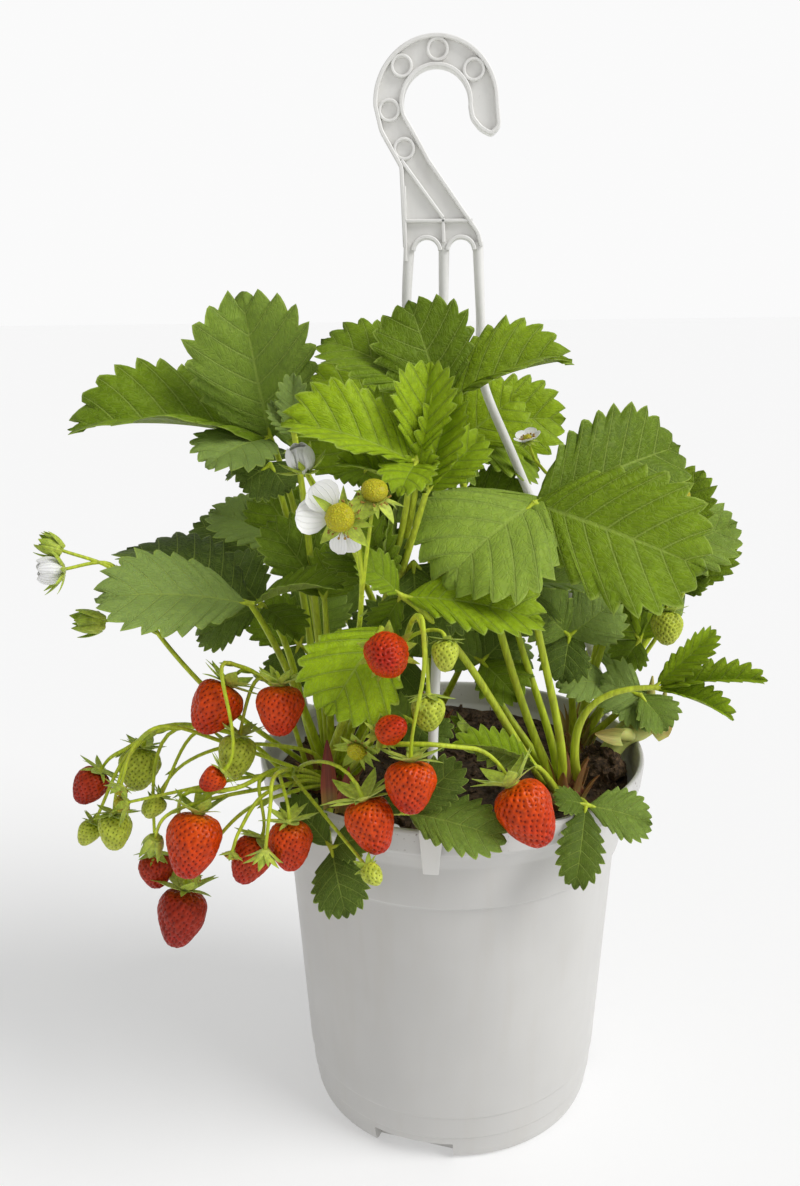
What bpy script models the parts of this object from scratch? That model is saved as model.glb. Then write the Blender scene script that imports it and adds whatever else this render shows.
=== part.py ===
"""A strawberry plant fruiting in a white plastic hanging pot.

The pot stands on its floor plate at the origin, +Z up, with the front of the plant at -Y.
Run with: blender --background --python part.py
"""
import math

import bmesh
import bpy
import numpy as np

MM = 0.001

# ---- driving dimensions, millimetres ------------------------------------------------
POT_SEGMENTS = 36
POT_HEIGHT = 165.0
RIM_RADIUS = 84.6
LIP_HEIGHT = 10.2
COLLAR_RADIUS = 75.2
COLLAR_BOTTOM = 127.0
BODY_TOP_RADIUS = 73.2
BASE_RADIUS = 64.3
WALL = 1.7
FLOOR = 2.6
DRAIN_ANGLES = (255.0, 15.0, 135.0)
DRAIN_HEIGHT = 8.5
DRAIN_WIDTH = 35.0
DRAIN_DEPTH = 9.0
DRAIN_HOLE_RADIUS = 2.6
SOIL_LEVEL = 152.0
SOIL_RELIEF = 1.6
SEAT_GAP = 0.4
STEM_GAP = 0.6

HOOK_CENTRE = (-5.8, 430.2)
HOOK_OUTER_RADIUS = 24.0
HOOK_EYE_RADIUS = 12.6
HOOK_THICKNESS = 6.4
LEG_RADIUS = 2.0
CLIP_WIDTH = 9.0
CLIP_DROP = 18.5
CLIP_THICKNESS = 1.4
CLIP_ANGLES = {"front": 265.0, "right": 30.0, "left": 150.0}

PETIOLE_SIDES = 5
PETIOLE_BASE_RADIUS = 1.9
PETIOLE_TIP_RADIUS = 1.25
BLADE_THICKNESS = 0.9
BLADE_INSET = 0.9
STALK_SIDES = 5
BERRY_SIDES = 8
SPREAD_ANGLE = 25.0

# ---- planting plan, millimetres -----------------------------------------------------
CROWNS = {
    "left": ((-52, -14), 11.0),
    "right": ((47, -27), 10.0),
    "edge": ((58, 25), 9.0),
    "back": ((-12, 42), 9.0),
}

# Which way the upper side of a blade looks.
FACINGS = {
    "up": (0.0, -0.15, 1.0),
    "rise": (0.0, -0.6, 0.8),
    "front": (0.0, -1.0, 0.35),
    "side": (-1.0, -0.4, 0.2),
}

# name, crown, where the leaflets meet, then (tip, width, facing, fold in degrees) for each
LEAVES = (
    ("arch_left", "left", (-73, -15, 304),
     (((-149, -35, 310), 52, "rise", 20), ((-80, -25, 361), 54, "front", 16),
      ((-92, -50, 297), 38, "rise", 14))),
    ("behind_arch", "back", (-67, 5, 296),
     (((-96, 3, 286), 30, "up", 14), ((-70, 20, 325), 28, "front", 14))),
    ("crest", "right", (-3, -38, 320),
     (((-16, -32, 357), 42, "front", 14), ((45, -38, 335), 44, "rise", 20),
      ((-50, -26, 343), 38, "rise", 20))),
    ("bright_back", "back", (-5, 38, 303),
     (((-64, 36, 325), 44, "rise", 22), ((52, 44, 305), 46, "front", 12),
      ((15, 52, 325), 36, "front", 14))),
    ("young", "left", (-12, -74, 302),
     (((-58, -82, 317), 42, "rise", 26), ((-7, -64, 336), 30, "front", 34),
      ((-17, -96, 294), 24, "rise", 20))),
    ("big_right", "right", (31, -50, 283),
     (((97, -15, 303), 60, "rise", 12), ((93, -60, 259), 58, "front", 10),
      ((-1, -74, 257), 56, "rise", 12))),
    ("right_back", "edge", (86, 32, 240),
     (((112, 32, 283), 40, "rise", 18), ((132, 45, 257), 38, "front", 18),
      ((89, 10, 225), 30, "rise", 14))),
    ("rim_right", "right", (83, -30, 203),
     (((126, -35, 206), 20, "rise", 36), ((111, -46, 196), 18, "up", 38),
      ((107, -24, 227), 22, "front", 34))),
    ("long_mid", "right", (-18, -72, 253),
     (((34, -76, 244), 36, "rise", 26), ((-27, -62, 236), 18, "front", 34),
      ((-34, -78, 268), 20, "rise", 24))),
    ("under_mid", "right", (24, -18, 243),
     (((68, -24, 241), 36, "up", 22), ((-9, -22, 232), 32, "rise", 14),
      ((46, 4, 226), 28, "rise", 14))),
    ("folded_mid", "left", (-22, -56, 252),
     (((-32, -46, 289), 34, "side", 50), ((-47, -40, 265), 28, "rise", 30))),
    ("grey_left", "left", (-77, -54, 245),
     (((-130, -76, 253), 46, "rise", 14), ((-39, -68, 255), 24, "up", 36),
      ((-132, -26, 261), 46, "up", 20))),
    ("low_left", "left", (-76, -34, 239),
     (((-103, -38, 225), 28, "rise", 16), ((-59, -50, 229), 22, "up", 30),
      ((-101, -5, 251), 34, "rise", 14))),
    ("far_left", "back", (-79, 20, 244),
     (((-117, 26, 261), 32, "rise", 20), ((-105, 44, 268), 32, "rise", 16),
      ((-68, 30, 275), 30, "front", 14))),
    ("lime", "left", (-25, -80, 243),
     (((-44, -95, 215), 44, "front", 8),)),
    ("rim_front", "left", (-17, -90, 176),
     (((16, -100, 167), 28, "front", 10), ((4, -90, 196), 20, "front", 14),
      ((-26, -80, 176), 12, "rise", 10))),
    ("rim_left", "left", (-47, -77, 169),
     (((-38, -100, 141), 28, "front", 12), ((-31, -88, 166), 20, "rise", 12),
      ((-64, -70, 172), 18, "rise", 12))),
    ("corner", "right", (52, -66, 168),
     (((46, -88, 144), 30, "front", 10), ((78, -66, 160), 28, "rise", 10),
      ((39, -72, 173), 14, "rise", 10))),
    ("grey_back", "edge", (75, 24, 185),
     (((47, 10, 190), 30, "rise", 16), ((89, 2, 172), 24, "rise", 14),
      ((84, 54, 204), 24, "rise", 14))),
    ("back_right", "edge", (68, 62, 198),
     (((112, 68, 217), 38, "rise", 16), ((52, 72, 226), 30, "front", 14),
      ((46, 60, 180), 26, "rise", 14))),
    ("back_mid", "back", (9, 14, 208),
     (((-24, 10, 224), 34, "rise", 14), ((36, 8, 196), 30, "rise", 14),
      ((16, 34, 243), 34, "front", 12))),
    ("back_left", "back", (-54, 52, 202),
     (((-80, 66, 203), 32, "rise", 16), ((-58, 68, 236), 34, "front", 12),
      ((-30, 50, 183), 28, "rise", 16))),
)

# name, crown, the main stalk's route after it leaves the crown, then side twigs that
# carry only a bud: (place along the stalk 0..1, end, bud diameter)
TRUSSES = (
    ("low", "left", ((-66, -64, 181), (-80, -84, 182), (-98, -82, 180)),
     ((0.35, (-27, -113, 163), 9),)),
    ("left_mid", "left", ((-66, -50, 204), (-74, -64, 220), (-82, -72, 227)), ()),
    ("left_fan", "left", ((-85, -48, 188), (-113, -50, 192), (-134, -52, 182)),
     ((0.85, (-148, -56, 148), 11), (0.6, (-117, -66, 165), 10))),
    ("high_left", "left", ((-85, -42, 193), (-98, -50, 210), (-115, -50, 232), (-130, -46, 256)),
     ((0.96, (-153, -54, 268), 10), (1.0, (-152, -58, 259), 10), (0.8, (-138, -62, 240), 12))),
    ("centre", "left", ((-22, -56, 214), (-14, -92, 248), (-10, -101, 253), (-9, -105, 246)),
     ((0.5, (-33, -94, 203), 8),)),
    ("cross", "left", ((-29, -86, 199), (-11, -98, 206), (7, -94, 203)), ()),
    ("flowers", "left", ((-35, -70, 232), (-31, -88, 260), (-31, -94, 277)),
     ((0.8, (-25, -102, 296), 11),)),
    ("back", "edge", ((95, 34, 204), (103, 8, 240), (96, -3, 262)),
     ((1.0, (94, -4, 277), 12),)),
)

# name, truss, place along the stalk, centre, axis from calyx to tip, diameter, length, ripe
BERRIES = (
    ("ripe_1", "left_mid", 0.9, (-90, -70, 208), (-5, -3, -8), 20, 21, True),
    ("ripe_2", "left_mid", 0.7, (-63, -80, 211), (0, -2, -10), 18, 19, True),
    ("ripe_3", "centre", 0.6, (-22, -102, 240), (0, -10, 2), 16, 16, True),
    ("ripe_4", "centre", 0.4, (-20, -101, 213), (6, -5, 5), 11, 12, True),
    ("ripe_5", "centre", 1.0, (-14, -104, 192), (0, -2, -10), 18, 19, True),
    ("ripe_6", "low", 0.3, (-28, -102, 176), (3, -1, -10), 18, 21, True),
    ("ripe_7", "cross", 1.0, (28, -96, 178), (5, -2, -9), 21, 25, True),
    ("ripe_8", "low", 0.5, (-59, -93, 163), (0, -1, -10), 16, 19, True),
    ("ripe_9", "low", 0.65, (-76, -84, 152), (-4, -2, -8), 16, 19, True),
    ("ripe_10", "low", 0.85, (-97, -88, 160), (-2, -3, -10), 21, 25, True),
    ("ripe_11", "low", 0.95, (-109, -68, 117), (-2, -2, -10), 20, 24, True),
    ("ripe_12", "left_fan", 0.7, (-119, -62, 135), (0, -1, -10), 14, 15, True),
    ("ripe_13", "left_mid", 1.0, (-88, -88, 187), (-7, -2, -5), 10, 10, True),
    ("ripe_14", "left_fan", 1.0, (-148, -50, 166), (-5, -2, -7), 14, 16, True),
    ("green_1", "left_mid", 0.8, (-82, -72, 189), (-2, -2, -10), 15, 17, False),
    ("green_2", "left_fan", 0.5, (-128, -46, 172), (-2, -2, -10), 17, 18, False),
    ("green_3", "left_fan", 0.8, (-134, -64, 153), (0, -2, -10), 14, 15, False),
    ("green_4", "centre", 0.9, (-8, -92, 215), (0, -2, -10), 12, 13, False),
    ("green_5", "centre", 0.75, (-2, -94, 237), (0, -4, -10), 10, 11, False),
    ("green_6", "back", 0.5, (95, 10, 216), (0, -4, -10), 14, 15, False),
)

# name, truss, place along the stalk, centre, the way it faces, diameter over the petals
FLOWERS = (
    ("open", "flowers", 1.0, (-35, -108, 288), (-2, -9, 4), 26),
    ("opening", "flowers", 0.9, (-53, -72, 303), (-2, -3, 9), 13),
    ("rear", "back", 0.9, (31, -10, 303), (0, -4, 8), 14),
)

# colour, roughness
FINISHES = {
    "white_plastic": ((0.80, 0.80, 0.78), 0.38),
    "soil": ((0.045, 0.030, 0.022), 0.95),
    "crown": ((0.30, 0.10, 0.06), 0.7),
    "leaf": ((0.10, 0.22, 0.03), 0.5),
    "stalk": ((0.33, 0.45, 0.08), 0.45),
    "ripe": ((0.62, 0.04, 0.02), 0.3),
    "unripe": ((0.50, 0.58, 0.20), 0.4),
    "petal": ((0.88, 0.88, 0.84), 0.6),
}


# ---- small helpers --------------------------------------------------------------------
def unit(vector):
    vector = np.asarray(vector, float)
    return vector / np.linalg.norm(vector)


def across(vector, direction):
    """The part of vector at right angles to direction, as a unit vector."""
    direction = unit(direction)
    vector = np.asarray(vector, float)
    return unit(vector - direction * (vector @ direction))


def finish(name):
    """The material of that name, made once."""
    found = bpy.data.materials.get(name)
    if found:
        return found
    material = bpy.data.materials.new(name)
    material.use_nodes = True
    shader = material.node_tree.nodes["Principled BSDF"]
    colour, roughness = FINISHES[name]
    shader.inputs["Base Color"].default_value = (*colour, 1.0)
    shader.inputs["Roughness"].default_value = roughness
    shader.inputs["Metallic"].default_value = 0.0
    return material


def shape_object(name, shape):
    """An object from (points in millimetres, faces), with its faces turned outwards."""
    points, faces = shape
    mesh = bpy.data.meshes.new(name)
    mesh.from_pydata([tuple(float(c) * MM for c in point) for point in points], [], faces)
    work = bmesh.new()
    work.from_mesh(mesh)
    bmesh.ops.recalc_face_normals(work, faces=work.faces)
    work.to_mesh(mesh)
    work.free()
    obj = bpy.data.objects.new(name, mesh)
    bpy.context.scene.collection.objects.link(obj)
    return obj


def make(name, shapes, material, carved=()):
    """One closed object: the union of the shapes, less the carved ones."""
    body = shape_object(name, shapes[0])
    helpers = []
    for operation, group in (("UNION", shapes[1:]), ("DIFFERENCE", carved)):
        for shape in group:
            helper = shape_object(name + "_helper", shape)
            helpers.append(helper)
            step = body.modifiers.new(operation.title(), "BOOLEAN")
            step.operation = operation
            step.solver = "EXACT"
            step.object = helper
    graph = bpy.context.evaluated_depsgraph_get()
    graph.update()
    finished = bpy.data.meshes.new_from_object(body.evaluated_get(graph))
    body.modifiers.clear()
    body.data = finished
    body.data.name = name
    for helper in helpers:
        bpy.data.objects.remove(helper)
    body.data.materials.clear()
    body.data.materials.append(finish(material))
    body.data.shade_smooth()
    body.data.set_sharp_from_angle(angle=math.radians(40))
    return body


# ---- shapes -----------------------------------------------------------------------------
def lathe(profile, sides, centre=(0, 0, 0), axis=(0, 0, 1)):
    """A turned solid from (radius, height) pairs that begin and end on the axis."""
    axis = unit(axis)
    first = across((1, 0, 0) if abs(axis[0]) < 0.9 else (0, 1, 0), axis)
    second = np.cross(axis, first)
    centre = np.asarray(centre, float)
    points = [centre + axis * profile[0][1]]
    for radius, height in profile[1:-1]:
        for step in range(sides):
            turn = 2 * math.pi * step / sides
            spoke = first * math.cos(turn) + second * math.sin(turn)
            points.append(centre + axis * height + spoke * radius)
    points.append(centre + axis * profile[-1][1])
    faces = []
    rings = len(profile) - 2
    for step in range(sides):
        after = (step + 1) % sides
        faces.append((0, 1 + after, 1 + step))
        for ring in range(rings - 1):
            low = 1 + ring * sides
            high = low + sides
            faces.append((low + step, low + after, high + after, high + step))
        last = 1 + (rings - 1) * sides
        faces.append((len(points) - 1, last + step, last + after))
    return points, faces


def tube(route, radii, sides):
    """A round bar along the route, closed by flat ends."""
    route = [np.asarray(point, float) for point in route]
    count = len(route)
    points = []
    side = across((0.3, 0.9, 0.2), route[1] - route[0])
    for index in range(count):
        ahead = unit(route[min(index + 1, count - 1)] - route[max(index - 1, 0)])
        side = across(side, ahead)
        other = np.cross(ahead, side)
        for step in range(sides):
            turn = 2 * math.pi * step / sides
            spoke = side * math.cos(turn) + other * math.sin(turn)
            points.append(route[index] + spoke * radii[index])
    faces = [tuple(reversed(range(sides)))]
    for index in range(count - 1):
        low = index * sides
        for step in range(sides):
            after = (step + 1) % sides
            faces.append((low + step, low + after, low + sides + after, low + sides + step))
    faces.append(tuple(range((count - 1) * sides, count * sides)))
    return points, faces


def box(centre, half, outward):
    """A block whose own X runs along outward (level), at half sizes (x, y, z)."""
    outward = unit(outward)
    sideways = np.cross((0, 0, 1), outward)
    centre = np.asarray(centre, float)
    points = []
    for up in (-1, 1):
        for across_way, out in ((-1, -1), (1, -1), (1, 1), (-1, 1)):
            points.append(centre + outward * half[0] * out + sideways * half[1] * across_way
                          + np.array((0, 0, half[2] * up)))
    faces = [(0, 1, 2, 3), (7, 6, 5, 4), (0, 4, 5, 1), (1, 5, 6, 2), (2, 6, 7, 3), (3, 7, 4, 0)]
    return points, faces


def prism(points):
    """A solid between two matching outlines: the first half of the points and the second."""
    count = len(points) // 2
    faces = [tuple(range(count)), tuple(range(2 * count - 1, count - 1, -1))]
    for step in range(count):
        after = (step + 1) % count
        faces.append((step, after, count + after, count + step))
    return points, faces


def bezier(start, start_pull, end_pull, end, count):
    """Points along a cubic curve, ends included."""
    start, start_pull, end_pull, end = (np.asarray(p, float) for p in (start, start_pull, end_pull, end))
    result = []
    for index in range(count):
        t = index / (count - 1)
        result.append(start * (1 - t) ** 3 + start_pull * 3 * t * (1 - t) ** 2
                      + end_pull * 3 * t * t * (1 - t) + end * t ** 3)
    return result


def smooth_route(knots, per_span):
    """Points along a Catmull-Rom curve through the knots."""
    knots = [np.asarray(k, float) for k in knots]
    padded = [2 * knots[0] - knots[1]] + knots + [2 * knots[-1] - knots[-2]]
    result = []
    for index in range(1, len(padded) - 2):
        before, here, there, after = padded[index - 1:index + 3]
        for step in range(per_span):
            t = step / per_span
            result.append(0.5 * (2 * here + (there - before) * t
                                 + (2 * before - 5 * here + 4 * there - after) * t * t
                                 + (3 * here - before - 3 * there + after) * t ** 3))
    result.append(knots[-1])
    return result


def ramp(first, last, count):
    return [first + (last - first) * index / (count - 1) for index in range(count)]


# ---- plant rules --------------------------------------------------------------------------
def blade_half_width(place):
    """Half the breadth of a leaflet, 0..1, at a place along its midrib."""
    rise = (place * 1.02) ** 0.85
    fall = (1 - place) ** 0.55
    return rise * fall / 0.555


def blade(base, tip, width, facing, fold, arch=0.07):
    """One leaflet: a thin plate creased along its midrib, with sharp edges."""
    base, tip = np.asarray(base, float), np.asarray(tip, float)
    base = base + unit(tip - base) * BLADE_INSET
    run = tip - base
    length = np.linalg.norm(run)
    face = across(FACINGS[facing], run)
    stations = (0.0, 0.12, 0.3, 0.5, 0.7, 0.88)
    points = []
    for place in stations:
        middle = base + run * place + face * arch * length * 4 * place * (1 - place)
        slope = unit(run + face * arch * length * 4 * (1 - 2 * place))
        normal = across(face, slope)
        side = np.cross(slope, normal)
        half = max(width / 2 * blade_half_width(place), 1.1)
        lift = normal * half * math.sin(math.radians(fold))
        reach = side * half * math.cos(math.radians(fold))
        points.append(middle + normal * BLADE_THICKNESS / 2)
        points.append(middle - reach + lift)
        points.append(middle - normal * BLADE_THICKNESS / 2)
        points.append(middle + reach + lift)
    points.append(tip)
    # Each station has top, left edge, underside, right edge. Both skins are cut along the
    # same diagonals, so that they never cross.
    faces = [(0, 1, 3), (2, 3, 1)]
    for row in range(len(stations) - 1):
        top, left, under, right = range(4 * row, 4 * row + 4)
        for skin in (top, under):
            for edge in (left, right):
                faces.append((skin, edge, edge + 4))
                faces.append((skin, edge + 4, skin + 4))
    last = 4 * (len(stations) - 1)
    for step in range(4):
        faces.append((last + step, last + (step + 1) % 4, last + 4))
    return points, faces


def crown_centre(crown):
    (x, y), _ = CROWNS[crown]
    return np.array((x, y, SOIL_LEVEL), float)


def growing_ends(crown):
    """The first far point of every petiole and stalk that leaves a crown, by name."""
    ends = {}
    for name, home, meeting, _ in LEAVES:
        if home == crown:
            ends["leaf_" + name] = np.array(meeting, float)
    for name, home, route, _ in TRUSSES:
        if home == crown:
            ends["truss_" + name] = np.array(route[0], float)
    return ends


def launch_directions(crown):
    """Where each stem leaves its crown: towards its own end, spread until none touch."""
    centre = crown_centre(crown)
    ends = growing_ends(crown)
    names = sorted(ends)
    ways = {}
    for name in names:
        way = unit(ends[name] - centre)
        way[2] = max(way[2], 0.25)
        ways[name] = unit(way)
    least = math.radians(SPREAD_ANGLE)
    for _ in range(200):
        for first in names:
            for second in names:
                if first >= second:
                    continue
                apart = ways[first] - ways[second]
                angle = 2 * math.asin(min(1.0, np.linalg.norm(apart) / 2))
                if angle < least:
                    push = unit(apart) * (least - angle) * 0.25
                    ways[first] = unit(ways[first] + push)
                    ways[second] = unit(ways[second] - push)
        for name in names:
            if ways[name][2] < 0.22:
                way = ways[name].copy()
                way[2] = 0.22
                ways[name] = unit(way)
    return ways


LAUNCH = {crown: launch_directions(crown) for crown in CROWNS}


def stem_start(crown, name):
    """The point just off the crown where a stem begins, and its direction there."""
    way = LAUNCH[crown][name]
    radius = CROWNS[crown][1]
    return crown_centre(crown) + way * (radius + STEM_GAP), way


def petiole_route(name, crown, meeting, leaflets, count=7):
    start, way = stem_start(crown, "leaf_" + name)
    meeting = np.asarray(meeting, float)
    run = meeting - start
    reach = np.linalg.norm(run)
    heading = unit(np.mean([unit(np.array(leaflet[0], float) - meeting) for leaflet in leaflets], axis=0))
    arrive = unit(unit(run) + 0.35 * heading)
    return bezier(start, start + way * reach * 0.3, meeting - arrive * reach * 0.3, meeting, count)


def truss_route(name, crown, knots, per_span=2):
    start, way = stem_start(crown, "truss_" + name)
    return smooth_route([start, start + way * 1.5, start + way * 9, *knots], per_span)


def along(route, place):
    """The point at a fraction of a route's length, and the direction there."""
    lengths = [np.linalg.norm(b - a) for a, b in zip(route, route[1:])]
    target = place * sum(lengths)
    for index, length in enumerate(lengths):
        if target <= length or index == len(lengths) - 1:
            share = min(target / length, 1.0)
            step = route[index + 1] - route[index]
            return route[index] + step * share, unit(step)
        target -= length


def twig(route, place, end, arrival, radius=0.65, count=5):
    """A thin stalk from a place on the truss to its fruit, bud or flower."""
    start, ahead = along(route, place)
    end = np.asarray(end, float)
    reach = np.linalg.norm(end - start)
    curve = bezier(start, start + ahead * reach * 0.35, end - unit(arrival) * reach * 0.35, end, count)
    return tube(curve, [radius] * count, STALK_SIDES)


# ---- sub-parts --------------------------------------------------------------------------
def pot_profile():
    """Outside from the middle of the floor up to the rim, then the inside back down."""
    lip_foot = POT_HEIGHT - LIP_HEIGHT
    outside = [
        (0.0, 0.0), (BASE_RADIUS - 4.0, 0.0), (BASE_RADIUS - 1.2, 1.1), (BASE_RADIUS, 4.5),
        (BASE_RADIUS + 0.7, 11.6), (BASE_RADIUS + 1.3, 12.4), (BASE_RADIUS + 1.9, 22.4),
        (BASE_RADIUS + 2.5, 23.2), (BODY_TOP_RADIUS, COLLAR_BOTTOM - 1.0),
        (COLLAR_RADIUS, COLLAR_BOTTOM), (COLLAR_RADIUS + 1.3, lip_foot - 9.5),
        (RIM_RADIUS - 6.2, lip_foot - 5.2), (RIM_RADIUS - 2.8, lip_foot - 1.2),
        (RIM_RADIUS - 1.0, lip_foot), (RIM_RADIUS, POT_HEIGHT - 1.2), (RIM_RADIUS - 0.5, POT_HEIGHT),
    ]
    inside = [
        (RIM_RADIUS - 2.0, POT_HEIGHT), (RIM_RADIUS - 2.6, POT_HEIGHT - 1.4),
        (RIM_RADIUS - 4.4, lip_foot - 0.6), (RIM_RADIUS - 8.0, lip_foot - 6.0),
        (COLLAR_RADIUS + 1.3 - WALL, lip_foot - 10.2), (COLLAR_RADIUS - WALL, COLLAR_BOTTOM + 0.6),
        (BODY_TOP_RADIUS - WALL, COLLAR_BOTTOM - 1.2), (BASE_RADIUS + 1.0, 24.0),
        (BASE_RADIUS + 0.2, DRAIN_HEIGHT + 4.2), (BASE_RADIUS - DRAIN_DEPTH - 4.0, DRAIN_HEIGHT + 3.0),
        (BASE_RADIUS - DRAIN_DEPTH - 6.0, FLOOR), (0.0, FLOOR),
    ]
    return outside, inside


def make_pot():
    outside, inside = pot_profile()
    cutters = []
    for angle in DRAIN_ANGLES:
        turn = math.radians(angle)
        out = np.array((math.cos(turn), math.sin(turn), 0.0))
        middle = BASE_RADIUS + 10.0 - DRAIN_DEPTH / 2
        cutters.append(box(out * middle + (0, 0, DRAIN_HEIGHT / 2 - 2.0),
                           (10.0 + DRAIN_DEPTH / 2, DRAIN_WIDTH / 2, DRAIN_HEIGHT / 2 + 2.0), out))
        hole_centre = out * (BASE_RADIUS - DRAIN_DEPTH / 2 + 0.5)
        hole = [(0.0, DRAIN_HEIGHT - 1.0), (DRAIN_HOLE_RADIUS, DRAIN_HEIGHT - 1.0),
                (DRAIN_HOLE_RADIUS, DRAIN_HEIGHT + 8.0), (0.0, DRAIN_HEIGHT + 8.0)]
        cutters.append(lathe(hole, 10, hole_centre))
    return make("pot", [lathe(outside + inside, POT_SEGMENTS)], "white_plastic", cutters)


def soil_height(radius, turn):
    """The lumpy surface of the potting soil."""
    wave = math.sin(3 * turn + radius * 0.11) + 0.7 * math.sin(5 * turn - radius * 0.19 + 1.3)
    return SOIL_LEVEL + SOIL_RELIEF * 0.55 * wave * min(1.0, radius / 20)


def make_soil():
    """The soil fills the pot to a finger's breadth under the rim; the crowns sit in it."""
    _, inside = pot_profile()
    wall = [(r, z) for r, z in reversed(inside) if z < SOIL_LEVEL - 1.5]
    profile = [(0.0, FLOOR + SEAT_GAP)]
    for radius, height in wall[1:]:
        profile.append((radius - SEAT_GAP - 0.05, height + SEAT_GAP))
    profile.append((RIM_RADIUS - 7.5, SOIL_LEVEL - 1.6))
    rings = (62.0, 42.0, 20.0)
    profile += [(radius, SOIL_LEVEL) for radius in rings]
    profile.append((0.0, SOIL_LEVEL))
    points, faces = lathe(profile, POT_SEGMENTS)
    first = 1 + (len(profile) - 2 - len(rings)) * POT_SEGMENTS
    for index in range(first, len(points) - 1):
        x, y, _ = points[index]
        points[index][2] = soil_height(math.hypot(x, y), math.atan2(y, x))
    sockets = [crown_shape(crown, SEAT_GAP) for crown in CROWNS]
    return make("potting_soil", [(points, faces)], "soil", sockets)


def crown_shape(crown, margin=0.0):
    """A short knobbly rootstock: a dome above the soil and a stub below it."""
    radius = CROWNS[crown][1] + margin
    depth = 11.0 + margin
    profile = [(0.0, -depth), (radius * 0.5, -depth), (radius * 0.86, -radius * 0.5), (radius, 0.0)]
    for rise in (25, 50, 72):
        profile.append((radius * math.cos(math.radians(rise)), radius * math.sin(math.radians(rise))))
    profile.append((0.0, radius))
    return lathe(profile, 14, crown_centre(crown))


def make_crowns():
    for crown in CROWNS:
        make("crown_" + crown, [crown_shape(crown)], "crown")


def make_leaf(name, crown, meeting, leaflets):
    route = petiole_route(name, crown, meeting, leaflets)
    count = len(route)
    shapes = [tube(route, ramp(PETIOLE_BASE_RADIUS, PETIOLE_TIP_RADIUS, count), PETIOLE_SIDES)]
    meeting = np.asarray(meeting, float)
    hub = PETIOLE_TIP_RADIUS + 0.9
    shapes.append(lathe([(0.0, -hub), (hub, 0.0), (0.0, hub)], 6, meeting, (0.2, 0.1, 1)))
    for tip, width, facing, fold in leaflets:
        shapes.append(blade(meeting, tip, width, facing, fold))
    return make("leaf_" + name, shapes, "leaf")


def berry_top(centre, axis, length):
    """The middle of the calyx."""
    return np.asarray(centre, float) - unit(axis) * length / 2


def make_berry(name, centre, axis, diameter, length, ripe):
    """A conical fruit with its rounded shoulder at the calyx."""
    outline = ((0.0, 0.0), (0.55, 0.03), (0.86, 0.12), (1.0, 0.34), (0.80, 0.66), (0.42, 0.92), (0.0, 1.0))
    profile = [(diameter / 2 * r, length * h) for r, h in outline]
    top = berry_top(centre, axis, length)
    calyx = [(0.0, -0.5), (1.6, -0.5), (diameter * 0.36, 0.6), (diameter * 0.30, 2.0), (0.0, 2.0)]
    shapes = [lathe(profile, BERRY_SIDES, top, axis), lathe(calyx, BERRY_SIDES, top, axis)]
    return make("berry_" + name, shapes, "ripe" if ripe else "unripe")


def flower_back(centre, facing, diameter):
    """Where the stalk meets the underside of a flower."""
    return np.asarray(centre, float) - unit(facing) * diameter * 0.14


def make_flower(name, centre, facing, diameter):
    """Five petals as one lobed plate round a domed receptacle."""
    facing = unit(facing)
    first = across((1, 0, 0), facing)
    second = np.cross(facing, first)
    centre = np.asarray(centre, float)
    rim = []
    for step in range(15):
        turn = 2 * math.pi * step / 15
        reach = diameter / 2 * (0.62 if step % 3 == 0 else 1.0)
        rim.append(centre + (first * math.cos(turn) + second * math.sin(turn)) * reach
                   + facing * diameter * 0.05)
    points = [centre + facing * 0.8, centre - facing * 0.8, *rim]
    faces = []
    for step in range(15):
        here, there = 2 + step, 2 + (step + 1) % 15
        faces += [(0, here, there), (1, there, here)]
    core = diameter * 0.2
    dome = [(0.0, -core * 0.7), (core * 0.5, -core * 0.7), (core, 0.0), (core * 0.7, core * 0.7), (0.0, core)]
    return make("flower_" + name, [(points, faces), lathe(dome, 8, centre, facing)], "petal")


def make_truss(name, crown, knots, buds):
    """A fruiting stalk with a twig to each berry and flower that it carries."""
    route = truss_route(name, crown, knots)
    shapes = [tube(route, ramp(1.25, 0.8, len(route)), STALK_SIDES)]
    for place, end, size in buds:
        start, _ = along(route, place)
        arrival = unit(np.asarray(end, float) - start)
        shapes.append(twig(route, place, end, arrival))
        egg = [(0.0, -size * 0.5), (size * 0.42, -size * 0.2), (size * 0.42, size * 0.2), (0.0, size * 0.5)]
        shapes.append(lathe(egg, 7, end, arrival))
    for _, home, place, centre, axis, _, length, _ in BERRIES:
        if home == name:
            end = berry_top(centre, axis, length) - unit(axis) * (0.5 + SEAT_GAP)
            shapes.append(twig(route, place, end, axis))
    for _, home, place, centre, facing, diameter in FLOWERS:
        if home == name:
            end = flower_back(centre, facing, diameter) - unit(facing) * SEAT_GAP
            shapes.append(twig(route, place, end, facing))
    return make("truss_" + name, shapes, "stalk")


def leg_routes():
    """The three legs, from the spreader plate out and down to the rim."""
    routes = {}
    for name, top_x in (("left", -16.6), ("front", -2.8), ("right", 10.6)):
        turn = math.radians(CLIP_ANGLES[name])
        out = np.array((math.cos(turn), math.sin(turn), 0.0))
        routes[name] = smooth_route([
            (top_x, 0.0, 379.0), (top_x + out[0] * 1.5, out[1] * 1.0, 350.0),
            out * 12.0 + (top_x * 0.25, 0.0, 325.0), out * 32.3 + (0, 0, 289.0),
            out * 65.0 + (0, 0, 223.0), out * 82.5 + (0, 0, 180.0), out * 82.6 + (0, 0, 166.2)], 3)
    return routes


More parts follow.
